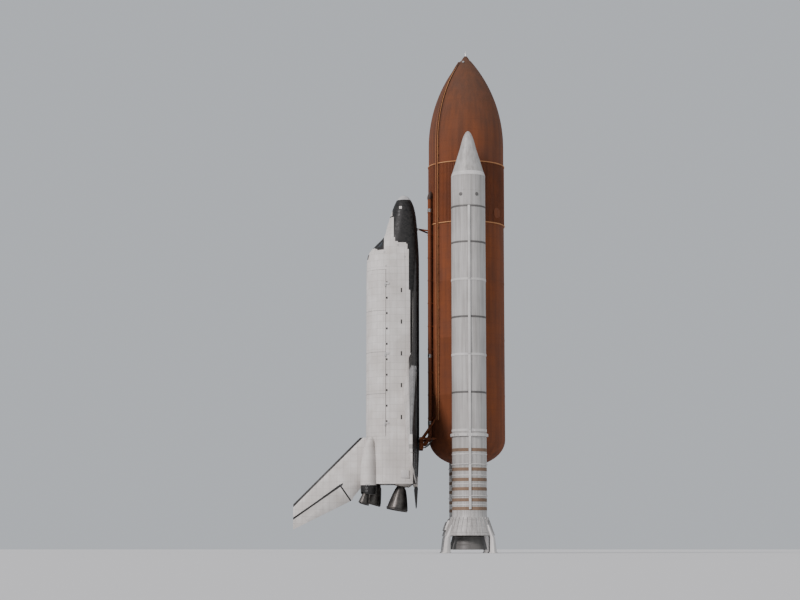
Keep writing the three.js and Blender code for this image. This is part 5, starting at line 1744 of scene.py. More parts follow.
    def curtain(self) -> Piece:
        """The quilted cloth that closes the space round the nozzle, with a hole for its swing."""
        outer, hole, height = 88.0, 64.0, self.up(1893.0)
        sag, ripple, thickness = 5.0, 1.4, 1.2
        profile = []
        for share in span(0.0, 1.0, 14):
            drop = sag * math.sin(math.pi * share) - ripple * math.sin(share * 22)
            profile.append((outer + (hole - outer) * share, height - drop))
        profile += [(radius, z + thickness) for radius, z in reversed(profile)]
        return self.shop.make(self.turned(Shape(), profile, wrap=True), "curtain", "cloth_shield")

    def bell_radius(self, along: float, raised: float = 0.0) -> float:
        """Radius of the nozzle's skin at a distance from its pivot."""
        share = (along - self.throat) / (self.exit - self.pivot - self.throat)
        return self.throat_radius + (self.exit_radius - self.throat_radius) * share**0.62 + raised

    def nozzle(self) -> None:
        """The nozzle with its stiffening rings and hollow bell."""
        long = self.exit - self.pivot
        outline = [(12.0, 5.4), (16.0, 5.4), (16.0, 14.0), (30.0, 15.0), (30.0, 22.0)]
        outline.append((self.throat_radius, self.throat))
        for along in span(self.throat + 4, long - 3, 36):
            raised = 1.1 if any(abs(along - ring) < 1.8 for ring in self.bell_rings) else 0.0
            outline.append((self.bell_radius(along, raised), along))
        outline += [(self.exit_radius, long - 2), (self.exit_radius, long)]
        outline += [(self.exit_radius - self.bell_wall, long)]
        for along in reversed(span(self.throat + 4, long - 3, 24)):
            outline.append((self.bell_radius(along, -self.bell_wall), along))
        outline += [(self.throat_radius - 6, self.throat - 1), (12.0, self.throat - 4)]
        shape = Shape().turned(outline, self.at(0, 0, self.pivot), DOWN, 96, wrap=True)
        side = self.side.label
        made = self.shop.make(shape, f"{side}_nozzle_skin", "booster_dark")
        Bench.place(made, f"{side}_booster_nozzle", "nozzle")


def smooth_row(table: Sequence[Row], station: float) -> Row:
    """Reads a table of sections at a station, along smooth curves through its rows.

    Args:
        table: Rows whose first column is the station, in order.
        station: Where to read.

    Returns:
        The row of values there.
    """
    i = 0
    while i < len(table) - 2 and table[i + 1][0] < station:
        i += 1
    low, high = table[i], table[i + 1]
    width = high[0] - low[0]
    share = (station - low[0]) / width
    values = [station]
    for column in range(1, len(low)):
        rise = (high[column] - low[column]) / width
        limit = STEEPEST * rise
        slopes = []
        for near in (i, i + 1):
            before, after = table[max(near - 1, 0)], table[min(near + 1, len(table) - 1)]
            slope = (after[column] - before[column]) / (after[0] - before[0])
            slopes.append(min(max(slope, min(0.0, limit)), max(0.0, limit)))
        value = low[column] + (high[column] - low[column]) * share * share * (3 - 2 * share)
        value += width * (slopes[0] * share * (1 - share) ** 2 - slopes[1] * share * share * (1 - share))
        values.append(value)
    return tuple(values)


def add_port(shape: Shape, place: Vector, out: Vector, size: float, rim: int) -> None:
    """Adds a round opening to a skin.

    Args:
        shape: The shape that takes it.
        place: Its middle on the skin.
        out: The direction that it looks in.
        size: Its radius in inches.
        rim: Mark of its rim.
    """
    rows = [(size * 1.5, -3), (size * 1.5, 0.25), (size * 1.1, 0.35), (size, -0.6)]
    shape.turned(rows, place, out, 24, rim)
    # The dark disc inside the opening is painted shade.
    shape.turned([(size * 0.98, -1.5), (size * 0.98, -0.5), (size * 0.2, -0.45)], place, out, 24)


@dataclass
class Fuselage:
    """The orbiter's body: nose, cabin, payload bay, doors and tail, by station, side and height."""

    shop: Shop
    half_width: float = 105.0
    nose_cap_end: float = 262.0
    cabin_start: float = 318.0
    cabin_end: float = 574.0
    bay_start: float = 582.0
    bay_end: float = 1307.0
    base: float = 1511.0
    sill: float = 417.0
    wall: float = 5.0
    bay_radius: float = 92.0
    door_outer: float = 103.5
    door_inner: float = 96.5
    door_axis: Pair = (106.0, 420.0)
    door_hinges: tuple[float, ...] = (640.0, 945.0, 1246.0)
    hinge_long: float = 8.0
    hatch: Point = (530.0, 368.0, 20.0)
    hatch_axis: float = 346.4
    hatch_skin: float = -101.2
    hatch_arms: tuple[float, ...] = (522.0, 531.0)
    arm_side: float = -103.8
    arm_wide: float = 3.5
    gap: float = 0.024
    points: int = 96

    # Columns: station, half width, top, belly, widest height, fullness above and below.
    forward_rows = (
        (238, 3, 342, 336.5, 339.5, 2, 2),
        (241, 12, 351, 328, 339.5, 2, 2),
        (248, 23, 360, 318, 339.5, 2, 2.1),
        (262, 36, 371, 307, 339, 2, 2.3),
        (290, 51, 384, 295, 338, 2, 2.6),
        (330, 66, 398, 286.5, 340, 2.05, 3),
        (380, 80, 413, 281, 345, 2.1, 3.5),
        (424, 88, 426, 278, 350, 2.1, 4),
        (462, 94, 462, 275.5, 355, 1.9, 4.2),
        (498, 98, 492, 273.5, 365, 1.9, 4.5),
        (530, 101, 501, 272.5, 380, 1.95, 4.7),
        (582, 105, 503, 272, 400, 2.03, 5),
    )
    aft_rows = (
        (1307, 105, 503, 272, 400, 2.03, 5),
        (1400, 105, 506, 274, 400, 2.2, 5),
        (1511, 104, 510, 279, 400, 2.5, 5),
    )
    # Rows of dark openings on the sides. Columns: name, first station, count, pitch, length, height, width.
    vents = (
        ("hinge_covers", 636.0, 10, 67.0, 8.0, 410.0, 6.5),
        ("vent_doors", 664.0, 5, 138.0, 19.0, 347.0, 6.0),
    )
    front_panes = (
        ((2.5, 436), (31, 436), (29, 470), (2.5, 472)),
        ((35, 435), (60, 433), (52, 462), (33, 469)),
    )
    side_pane = ((446, 434), (470, 433), (487, 452), (478, 462), (466, 458))
    # Thrusters of the nose. Columns: station, angle round the section in degrees, radius.
    thrusters = ((286, 78, 2.6), (286, 90, 2.6), (286, 102, 2.6), (318, 22, 3.0), (334, 20, 3.0),
                 (318, 158, 3.0), (334, 160, 3.0), (322, 62, 2.6), (322, 118, 2.6))
    # Small vents of the cabin. Columns: side, station, height.
    ports = (
        (1, 473, 364), (-1, 473, 364), (1, 526, 335), (1, 505, 424), (-1, 505, 424),
        (1, 567, 417), (-1, 567, 417),
    )
    port_radius = 2.6
    # The airlock's ring on the cabin's aft wall: radius and distance aft.
    airlock = ((19, 0), (19, 2.4), (16.5, 2.8), (16, 1.6), (12, 1.9), (0, 2.3))
    # Sides of the ribs on the bay's aft wall, and their reach from the bay's axis.
    aft_ribs = (-66.0, -44.0, -22.0, 0.0, 22.0, 44.0, 66.0)
    rib_reach = 88.0
    # Outline of the stub under the engines that carries the body flap, and of a side plate.
    flap_stub = ((1480, 279.3), (1522.4, 279.3), (1522.4, 296), (1500, 304), (1480, 304))
    side_plate = ((1452, 318), (1486, 318), (1486, 352), (1452, 352))

    @staticmethod
    def belly_at(station: float) -> float:
        """The belly's height at a station, straight between the rows.

        Args:
            station: The station.

        Returns:
            The height line of the belly there.
        """
        rows = Fuselage.aft_rows if station > Fuselage.bay_end else Fuselage.forward_rows
        for low, high in zip(rows, rows[1:]):
            if station <= high[0]:
                return low[3] + (high[3] - low[3]) * (station - low[0]) / (high[0] - low[0])
        return rows[-1][3]

    @staticmethod
    def section(row: Row, degrees: float, wall: float = 0.0) -> Pair:
        """A place of the skin on a section.

        Args:
            row: The section's row of values.
            degrees: Angle round it from the right, upwards.
            wall: How far it is drawn in.

        Returns:
            Side and height.
        """
        _, half, top, belly, widest, upper, lower = row
        side, rise = math.cos(math.radians(degrees)), math.sin(math.radians(degrees))
        power = 2 / (upper if rise >= 0 else lower)
        height = top - wall - widest if rise >= 0 else widest - belly - wall
        return (
            (half - wall) * math.copysign(abs(side) ** power, side),
            widest + height * math.copysign(abs(rise) ** power, rise),
        )

    def skin(self, station: float, degrees: float) -> Vector:
        """A place on the forward skin at a station and an angle round its section."""
        return Place.orbiter(station, *self.section(smooth_row(self.forward_rows, station), degrees))

    @staticmethod
    def angle_at(row: Row, height: float) -> float:
        """The angle round a section, in degrees, at which its right side is at a height.

        Args:
            row: The section's row of values.
            height: The height line.

        Returns:
            The angle.
        """
        _, _, top, belly, widest, upper, lower = row
        reach, power = (top - widest, upper) if height >= widest else (widest - belly, lower)
        rise = (abs(height - widest) / reach) ** (power / 2)
        return math.copysign(math.degrees(math.asin(rise)), height - widest)

    def hull(self, rows: Sequence[Row], low: float, high: float, wall: float = 0.0) -> Shape:
        """The body between two stations.

        Args:
            rows: Its sections.
            low: First station.
            high: Last station.
            wall: How far it is drawn in.

        Returns:
            The closed body.
        """
        steps = max(2, round((high - low) / 7)) if high > self.nose_cap_end + 1 else 16
        angles = [360 * i / self.points for i in range(self.points)]
        rings = []
        for station in span(low, high, steps):
            row = smooth_row(rows, station)
            rings.append([Place.orbiter(station, *self.section(row, degrees, wall)) for degrees in angles])
        return Shape().loft(rings)

    def arc(self, radius: float, low: float, high: float, steps: int, sign: int = 1) -> list[Pair]:
        """Side and height of places round the bay's axis, between two angles."""
        return [(sign * b, HEIGHT_LINE + a) for a, b in arc_places(radius, low, high, steps)]

    def shell(self, radii: Pair, angles: Pair, steps: int, ends: Pair, sign: int = 1) -> Shape:
        """A curved sheet about the bay's axis.

        Args:
            radii: Radius of the side that is drawn first, and of the other side.
            angles: Angles between which it spans.
            steps: Faces along the arc.
            ends: First and last station.
            sign: 1 for the right side, -1 for the left.

        Returns:
            The sheet.
        """
        low, high = angles
        outline = self.arc(radii[0], low, high, steps, sign) + self.arc(radii[1], high, low, steps, sign)
        return Shape().prism(outline, *ends)

    @staticmethod
    def line_bay(piece: Piece, radius: float, level: bool = False) -> None:
        """Gives the faces inside a radius about the bay's axis the second material.

        Args:
            piece: The piece.
            radius: The radius in inches.
            level: Whether faces that look along the bay keep their own.
        """
        axis = Place.orbiter(0, 0, HEIGHT_LINE).y
        for face in piece.data.polygons:
            inside = math.hypot(face.center.x, face.center.y - axis) < radius * INCH
            if inside and not (level and abs(face.normal.z) >= 0.5):
                face.material_index = 1

    def build(self) -> None:
        """Builds the whole body."""
        nose = self.hull(self.forward_rows, self.forward_rows[0][0], self.nose_cap_end)
        Bench.place(self.shop.make(nose, "nose_cap_skin", "nose_carbon"), "nose_cap", "carbon")
        self.cabin()
        self.glass()
        self.side_hatch()
        self.flight_deck()
        self.middle()
        for side in Side:
            self.door(side)
        self.tail()

    def window_tools(self) -> list[Piece]:
        """The cutters of the windows."""
        tools = []
        for sign in (-1, 1):
            for pane in self.front_panes:
                tools.append(Shape().prism([(sign * a, b) for a, b in pane], 425, 500))
            tools.append(Shape().prism(self.side_pane, sign * 56, sign * 120, sideways=True))
            tools.append(Shape().orbiter_box((506, sign * 7, 470), (528, sign * 27, 520)))
        # The cut walls of the windows take the near-black finish as painted shade.
        return [self.shop.make(tool, "window_tool", "soot") for tool in tools]

    def cabin_shell(self) -> Piece:
        """The hollow shell of the forward fuselage before its openings."""
        start, end = self.nose_cap_end + self.gap, self.bay_start - self.gap
        shell = self.shop.make(self.hull(self.forward_rows, start, end), "cabin_shell", "body_tiles")
        room = self.hull(self.forward_rows, self.cabin_start, self.cabin_end, self.wall)
        return Bench.carve(shell, [self.shop.make(room, "cabin_room", "cabin_grey")])

    def hatch_rod(self, radius: float) -> Piece:
        """The round cutter of the side hatch.

        Args:
            radius: Its radius.

        Returns:
            The cutter.
        """
        station, height, _ = self.hatch
        rod = Shape().orbiter_rod((station, 0, height), (-120, -90), radius, 64, axis=1)
        return self.shop.make(rod, "hatch_tool", "booster_light")

    def cabin(self) -> None:
        """The forward fuselage with windows, hatch opening, thrusters and hinge feet."""
        station, _, radius = self.hatch
        room = Shape().orbiter_box((station - 8.5, -112, 344.4), (station + 9.2, -97, 353))
        shell = self.cabin_shell()
        tools = [*self.window_tools(), self.hatch_rod(radius + 0.45)]
        # The hinge's recess is lined with the near-black finish as painted shade.
        tools.append(self.shop.make(room, "hinge_room", "soot"))
        Bench.carve(shell, tools)
        details = Shape()
        self.add_openings(details)
        for low in self.hatch_arms:
            axle = (low, self.arm_side, self.hatch_axis)
            details.orbiter_rod(axle, (0, self.arm_wide), 1.8, 20, 1)
            corner = (low + self.arm_wide, self.arm_side + 5, self.hatch_axis)
            details.orbiter_box((low, self.arm_side - 1.2, self.hatch_axis - 6), corner, 1)
        bulkhead = self.bay_start - self.gap - 0.5
        details.turned(self.airlock, Place.orbiter(bulkhead, 0, 372), DOWN, 48, 1)
        for sign in (-1, 1):
            details.orbiter_box((bulkhead, sign * 4, 452), (bulkhead + 1.4, sign * 21, 468), 1)
            details.orbiter_box((bulkhead, sign * 5.5, 453.5), (bulkhead + 1.7, sign * 19.5, 466.5))
        parts = [shell, self.shop.make(details, "nose_details", "soot", "bright_metal", "carbon")]
        Bench.assemble("forward_fuselage", "blanket", parts)

    def add_openings(self, details: Shape) -> None:
        """Adds the thrusters of the nose and the cabin's small vents to a shape.

        Args:
            details: The shape that takes them.
        """
        openings = list(self.thrusters)
        for side, at, height in self.ports:
            lean = self.angle_at(smooth_row(self.forward_rows, at), height)
            openings.append((at, lean if side > 0 else 180 - lean, self.port_radius))
        for at, degrees, size in openings:
            place = self.skin(at, degrees)
            across = self.skin(at, degrees + 2) - self.skin(at, degrees - 2)
            out = across.cross(self.skin(at - 4, degrees) - place).normalized()
            outward = out.dot(place - Place.orbiter(at, 0, 345)) > 0
            add_port(details, place, out if outward else -out, size, 2)

    def glass(self) -> None:
        """The panes behind the window openings."""
        made = self.shop.make(
            self.hull(self.forward_rows, 428, 540, self.wall + self.gap), "windshield_skin", "window_glass"
        )
        inner = self.hull(self.forward_rows, 420, 548, self.wall + 1.6)
        room = Shape().orbiter_box((432, -200, 431), (536, 200, 600))
        Bench.carve(made, [self.shop.make(inner, "glass_inner", "window_glass")])
        Bench.carve(made, [self.shop.make(room, "glass_frame", "window_glass")], "INTERSECT")
        Bench.place(made, "windshield_glass", "glass")

    def side_hatch(self) -> None:
        """The round side hatch with its window, rim and hinge arms."""
        station, height, radius = self.hatch
        made = Bench.carve(self.cabin_shell(), [self.hatch_rod(radius)], "INTERSECT")
        middle = (station, self.hatch_skin, height)
        shape = Shape().orbiter_rod(middle, (2.0, -0.35), 6.4, 32, 1, axis=1)
        shape.orbiter_rod(middle, (2.0, -0.6), 5.0, 32, 2, axis=1)
        for low in self.hatch_arms:
            start = low + 4.0
            shape.orbiter_rod((start, self.arm_side, self.hatch_axis), (0, self.arm_wide), 1.8, 20, 1)
            corner = (start + self.arm_wide, self.arm_side + 5, self.hatch_axis + 6)
            shape.orbiter_box((start, self.arm_side - 1.4, self.hatch_axis), corner, 1)
        parts = [made, self.shop.make(shape, "hatch_details", "soot", "bright_metal", "window_glass")]
        Bench.assemble("side_hatch", "blanket", parts)

    def flight_deck(self) -> None:
        """The cabin floor, panel and seats seen through the glass."""
        low = Place.orbiter(0, 0, 409.5).y
        finishes = [self.shop.finishes["cabin_grey"], self.shop.finishes["seat_cloth"]]
        made = Bench.copy_node("flight_deck", finishes, lambda middle, normal: int(middle.y < low))
        Bench.place(Bench.bevel(made, 0.8), "flight_deck", "cabin")

    def middle(self) -> None:
        """The payload bay's trough with its frames, sills, hinges and vents."""
        row, edge = self.forward_rows[-1], self.half_width - 1.2
        outline = [(-edge, self.sill)]
        outline += [self.section(row, 180 + 360 * i / self.points) for i in range(self.points // 2 + 1)]
        outline += [(edge, self.sill), (self.bay_radius - 1.5, self.sill)]
        outline += self.arc(self.bay_radius, 0, -180, 36)
        outline.append((1.5 - self.bay_radius, self.sill))
        trough = Shape().prism(outline, self.bay_start, self.bay_end)
        made = self.shop.make(trough, "bay_body", "body_tiles", "bay_liner")
        self.line_bay(made, self.bay_radius + 0.6, level=True)
        radii = (self.bay_radius + 0.3, self.bay_radius - 3.0)
        frames = self.shell(radii, (-6, -174), 28, (self.bay_start + 8, self.bay_start + 10))
        pieces = [made, self.shop.row(frames, "bay_frames", "bright_metal", 14, DOWN * 54)]
        details = Shape()
        side, height = self.door_axis
        for sign in (-1, 1):
            for station in self.door_hinges:
                end = station + self.hinge_long
                details.orbiter_rod((station, sign * side, height), (0, self.hinge_long), 3.4, 24)
                details.orbiter_box((station, sign * 102.8, 404), (end, sign * 107.5, height))
            # The rows of near-black boxes are painted shade inside the vents.
            for name, first, count, pitch, long, rise, tall in self.vents:
                corners = (first, sign * 100, rise), (first + long, sign * 105.2, rise + tall)
                vents = Shape().orbiter_box(*corners)
                pieces.append(self.shop.row(vents, f"{name}_{sign}", "soot", count, DOWN * pitch))
        pieces.append(self.shop.make(details, "sill_hinges", "booster_light"))
        Bench.assemble("middle_fuselage", "blanket", pieces + self.bay_fittings())

    def bay_fittings(self) -> list[Piece]:
        """The cable trays of the payload bay and the rows of fittings that hold a load."""
        trays = []
        keel, sills = Shape(), Shape()
        first, bottom = self.bay_start + 30, HEIGHT_LINE - self.bay_radius
        keel.orbiter_box((first, -4, bottom - 0.5), (first + 12, 4, bottom + 4))
        radii, ends = (self.bay_radius + 0.3, self.bay_radius - 3.6), (self.bay_start + 3, self.bay_end - 3)
        for sign in (-1, 1):
            sills.orbiter_box((first, sign * 85, self.sill - 9), (first + 9, sign * 92.5, self.sill - 0.5))
            for degrees in (-34.0, -58.0):
                tray = self.shell(radii, (degrees - 1.8, degrees + 1.8), 4, ends, sign)
                trays.append(Bench.bevel(self.shop.make(tray, "cable_tray", "booster_light"), 0.5))
        for shape, name in ((keel, "keel_fittings"), (sills, "sill_fittings")):
            trays.append(self.shop.row(shape, name, "bright_metal", 12, DOWN * 59))
        return trays

    def door(self, side: Side) -> None:
        """One payload bay door with its radiators, seals and hinges.

        Args:
            side: Which side it is on.
        """
        sign = side.value
        low = math.degrees(math.asin((self.sill + 0.6 - HEIGHT_LINE) / self.door_inner))
        whole = (low, math.degrees(math.acos(0.3 / self.door_outer)))
        outer, inner = self.door_outer, self.door_inner
        start, end = self.bay_start + 0.6, self.bay_end - 0.6
        body = self.shell((outer, inner), whole, 28, (start, end), sign)
        made = self.shop.make(body, "door_shell", "body_tiles", "bay_liner")
        self.line_bay(made, inner + 1)
        panels = self.shell((inner + 0.4, inner - 1.2), (18, 84), 20, (start + 6, start + 172), sign)
        seals = self.shell((outer - 0.4, outer + 0.3), whole, 28, (start + 178, start + 179.2), sign)
        details = Shape()
        x, height = sign * self.door_axis[0], self.door_axis[1]
        for station in self.door_hinges:
            first = station + self.hinge_long + 0.5
            details.orbiter_rod((first, x, height), (0, self.hinge_long), 3.4, 24)
            details.orbiter_box((first, sign * 99, height - 2), (first + self.hinge_long, x, height + 3))
        pieces = [
            made,
            self.shop.row(panels, "radiators", "radiator", 4, DOWN * 181),
            self.shop.row(seals, "door_seals", "booster_dark", 3, DOWN * 181),
            self.shop.make(details, "door_hinges", "bright_metal"),
        ]
        Bench.assemble(f"{side.label}_bay_door", "blanket", pieces)

    def tail(self) -> None:
        """The aft fuselage with the engines' heat shields, side plates and flap brackets."""
        body = self.hull(self.aft_rows, self.bay_end + self.gap, self.base)
        shell = self.shop.make(body, "tail_shell", "body_tiles", "base_tiles")
        for face in shell.data.polygons:
            face.material_index = int(face.normal.z < -0.9)
        engines = [MainEngine(self.shop, name) for name in MainEngine.table]
        Bench.carve(shell, [engine.dome() for engine in engines], "UNION")
        Bench.carve(shell, [engine.cavity() for engine in engines])
        details = Shape().prism(self.flap_stub, -78, 78, sideways=True)
        for low, high in ((-106.4, -100.0), (100.0, 106.4)):
            details.prism(self.side_plate, low, high, 1, sideways=True)
        for side in self.aft_ribs:
            reach = math.sqrt(self.rib_reach**2 - side**2)
            corner = (self.bay_end - 2.2, side - 0.7, HEIGHT_LINE - reach)
            details.orbiter_box(corner, (self.bay_end + 0.5, side + 0.7, HEIGHT_LINE + reach))
        for side in (-62.0, 62.0):
            details.orbiter_rod((1532, side, 287), (-3, 3), 3.5, 20, 2, axis=1)
            details.orbiter_box((1518, side - 3, 283.7), (1532, side + 3, 290.3), 2)
        made = self.shop.make(details, "tail_details", "cloth_shield", "booster_light", "dark_metal")
        Bench.assemble("aft_fuselage", "blanket", [shell, Bench.bevel(made, 0.5)])


@dataclass(frozen=True)
class Mounting:
    """Where an engine swings: its gimbal, its cant up and outward in degrees, its shield's radius."""

    station: float
    side: float
    height: float
    up: float
    out: float
    shield: float = 0.0

    @property
    def place(self) -> Vector:
        """The gimbal's place in the frame."""
        return Place.orbiter(self.station, self.side, self.height)

    def axis(self, pitch: float = 0.0, yaw: float = 0.0) -> Vector:
        """The engine's axis, turned up and outward by some degrees more."""
        up, out = math.radians(self.up + pitch), math.radians(self.out + yaw)
        return Place.aim(math.cos(up) * math.cos(out), math.sin(out), math.sin(up))


@dataclass(frozen=True)
class Bell:
    """A hollow bell by distance from its gimbal along its axis."""

    throat: float
    throat_radius: float
    exit: float
    exit_radius: float
    wall: float
    bands: tuple[float, ...] = ()
    band_half: float = 1.5
    band_height: float = 0.9
    power: float = 0.62

    def radius(self, along: float, raised: float = 0.0) -> float:
        """The outer radius at a distance, raised by a height."""
        share = max(0.0, (along - self.throat) / (self.exit - self.throat))
        return self.throat_radius + (self.exit_radius - self.throat_radius) * share**self.power + raised

    def profile(self, head: Sequence[Pair], steps: int = 30) -> list[Pair]:
        """The outline from the head over the bell's skin and back along its lining to the axis.

        Args:
            head: Radius and distance of the outline up to the throat.
            steps: Rings along the bell.

        Returns:
            Radius and distance of the whole outline.
        """
        stops = {along: 0.0 for along in span(self.throat + 1.5, self.exit - 3, steps)}
        for band in self.bands:
            stops = {key: raised for key, raised in stops.items() if abs(key - band) >= self.band_half + 0.5}
            for shift, raised in ((-1.0, 0.0), (-0.8, 1.0), (0.8, 1.0), (1.0, 0.0)):
                stops[band + self.band_half * shift] = raised * self.band_height
        outline = [*head, (self.throat_radius, self.throat)]
        outline += [(self.radius(along, raised), along) for along, raised in sorted(stops.items())]
        lip = ((0.3, 2.6), (0.0, 2.2), (0.0, 0.0), (self.wall, 0.0))
        outline += [(self.exit_radius - inward, self.exit - back) for inward, back in lip]
        for along in reversed(span(self.throat + 3, self.exit - 3, steps)):
            outline.append((self.radius(along, -self.wall), along))
        return [*outline, (self.throat_radius * 0.5, self.throat + 1.5), (0.0, self.throat + 1.0)]


class MainEngine:
    """A main engine: bell, pipes and heat shield, and the fixed dome and cavity that it swings in."""

    table = {
        "upper": Mounting(1445.0, 0.0, 443.0, 16.0, 0.0, 68.0),
        "left": Mounting(1468.17, -53.0, 342.64, 10.0, -3.5, 56.0),
        "right": Mounting(1468.17, 53.0, 342.64, 10.0, 3.5, 56.0),
    }
    bell = Bell(44.0, 8.0, 157.0, 45.35, 2.2, (70.0, 82.0, 94.0, 106.0, 117.0, 128.0, 139.0, 148.5))
    head = ((0.0, 3.0), (7.0, 3.0), (7.0, 10.0), (19.0, 11.0), (20.0, 12.0), (20.0, 39.0), (19.0, 40.0))
    shield_wall, shield_gap, dome_wall = 2.0, 1.2, 3.0
    # Degrees from the engine's axis: the dome's opening, the shield's edge and the dome's foot.
    opening, edge, swing = 33.2, 35.6, 49.2
    pipe_angles = (60.0, 180.0, 300.0)
    pipe_radius, pipe_end = 1.7, 147.0
    # How far outside the bell's skin a pipe runs, and where it starts.
    pipe_lift, pipe_root = 1.1, -2.0
    # The pipe ring at the exit: distance along the bell, half width across and along.
    exit_ring = (151.0, 1.5, 2.6)

    def __init__(self, shop: Shop, name: str) -> None:
        """Takes the finishes and the engine's name."""
        self.shop = shop
        self.name = name
        self.held = self.table[name]

    def cap(self, outer: float, inner: float, low: float, high: float) -> list[Pair]:
        """The closed outline of a part of a hollow ball about the gimbal, between two angles."""
        return arc_places(outer, low, high, 8) + arc_places(inner, low, high, 8)[::-1]

    def turned(self, profile: Sequence[Pair], wrap: bool, steps: int = 72) -> Shape:
        """A body of revolution about this engine's axis."""
        return Shape().turned(profile, self.held.place, self.held.axis(), steps, wrap=wrap)

    def dome(self) -> Piece:
        """The fixed dome round the opening."""
        inner = self.held.shield + self.shield_gap
        outline = self.cap(inner + self.dome_wall, inner, self.opening, self.swing)
        return self.shop.make(self.turned(outline, True), "dome", "cloth_shield")

    def cavity(self) -> Piece:
        """The room that the engine needs in the aft fuselage."""
        radius, turn = self.held.shield, math.radians(self.swing)
        deep = (radius - self.shield_wall) * math.cos(turn)
        inside = arc_places(radius + self.shield_gap, self.swing, self.opening, 8)
        wide, far = inside[-1]
        outline = [(0, -3), (27, -3), (31, deep - 2), (radius * math.sin(turn) + 1, deep - 1.5)]
        outline += [*inside, (wide * 2, far * 2), (0, far * 2)]
        # The room's walls take the near-black finish as painted shade inside the opening.
        return self.shop.make(self.turned(outline, False), "engine_room", "soot")

    def pipes(self) -> Shape:
        """The coolant pipes down the bell and the ring at its exit."""
        held, axis = self.held, self.held.axis()
        up = math.radians(held.up)
        first = Place.aim(-math.sin(up), 0.0, math.cos(up))
        second = axis.cross(first).normalized()
        pipes = Shape()
        for degrees in self.pipe_angles:
            turn = math.radians(degrees)
            out = first * math.cos(turn) + second * math.sin(turn)
            path = []
            for along in span(held.shield * 1.08, self.pipe_end, 14):
                lift = self.pipe_lift if path else self.pipe_root
                path.append(held.place + (axis * along + out * self.bell.radius(along, lift)) * INCH)
            pipes.tube(path, self.pipe_radius, 12)
        middle, across, along = self.exit_ring
        out = self.bell.radius(middle + 1, self.pipe_lift)
        ring = [(out + across * math.cos(turn), middle + along * math.sin(turn))
                for turn in (math.radians(degrees) for degrees in range(0, 360, 30))]
        return pipes.turned(ring, held.place, axis, 72, wrap=True)

    def build(self) -> None:
        """Builds the moving engine."""
        radius = self.held.shield
        near = math.degrees(math.asin((self.bell.radius(radius * 0.95) - self.bell.wall / 2) / radius))
        cap = self.cap(radius, radius - self.shield_wall, near, self.edge)
        pieces = [
            self.shop.make(self.turned(self.bell.profile(self.head), False, 96), "bell", "dark_metal"),
            self.shop.make(self.turned(cap, True), "shield", "cloth_shield"),
            self.shop.make(self.pipes(), "coolant_pipes", "dark_metal"),
        ]
        Bench.assemble(f"{self.name}_main_engine", "nozzle", pieces, f"{self.name}_engine_skin")
        self.shop.metal(f"{self.name}_main_gimbal")


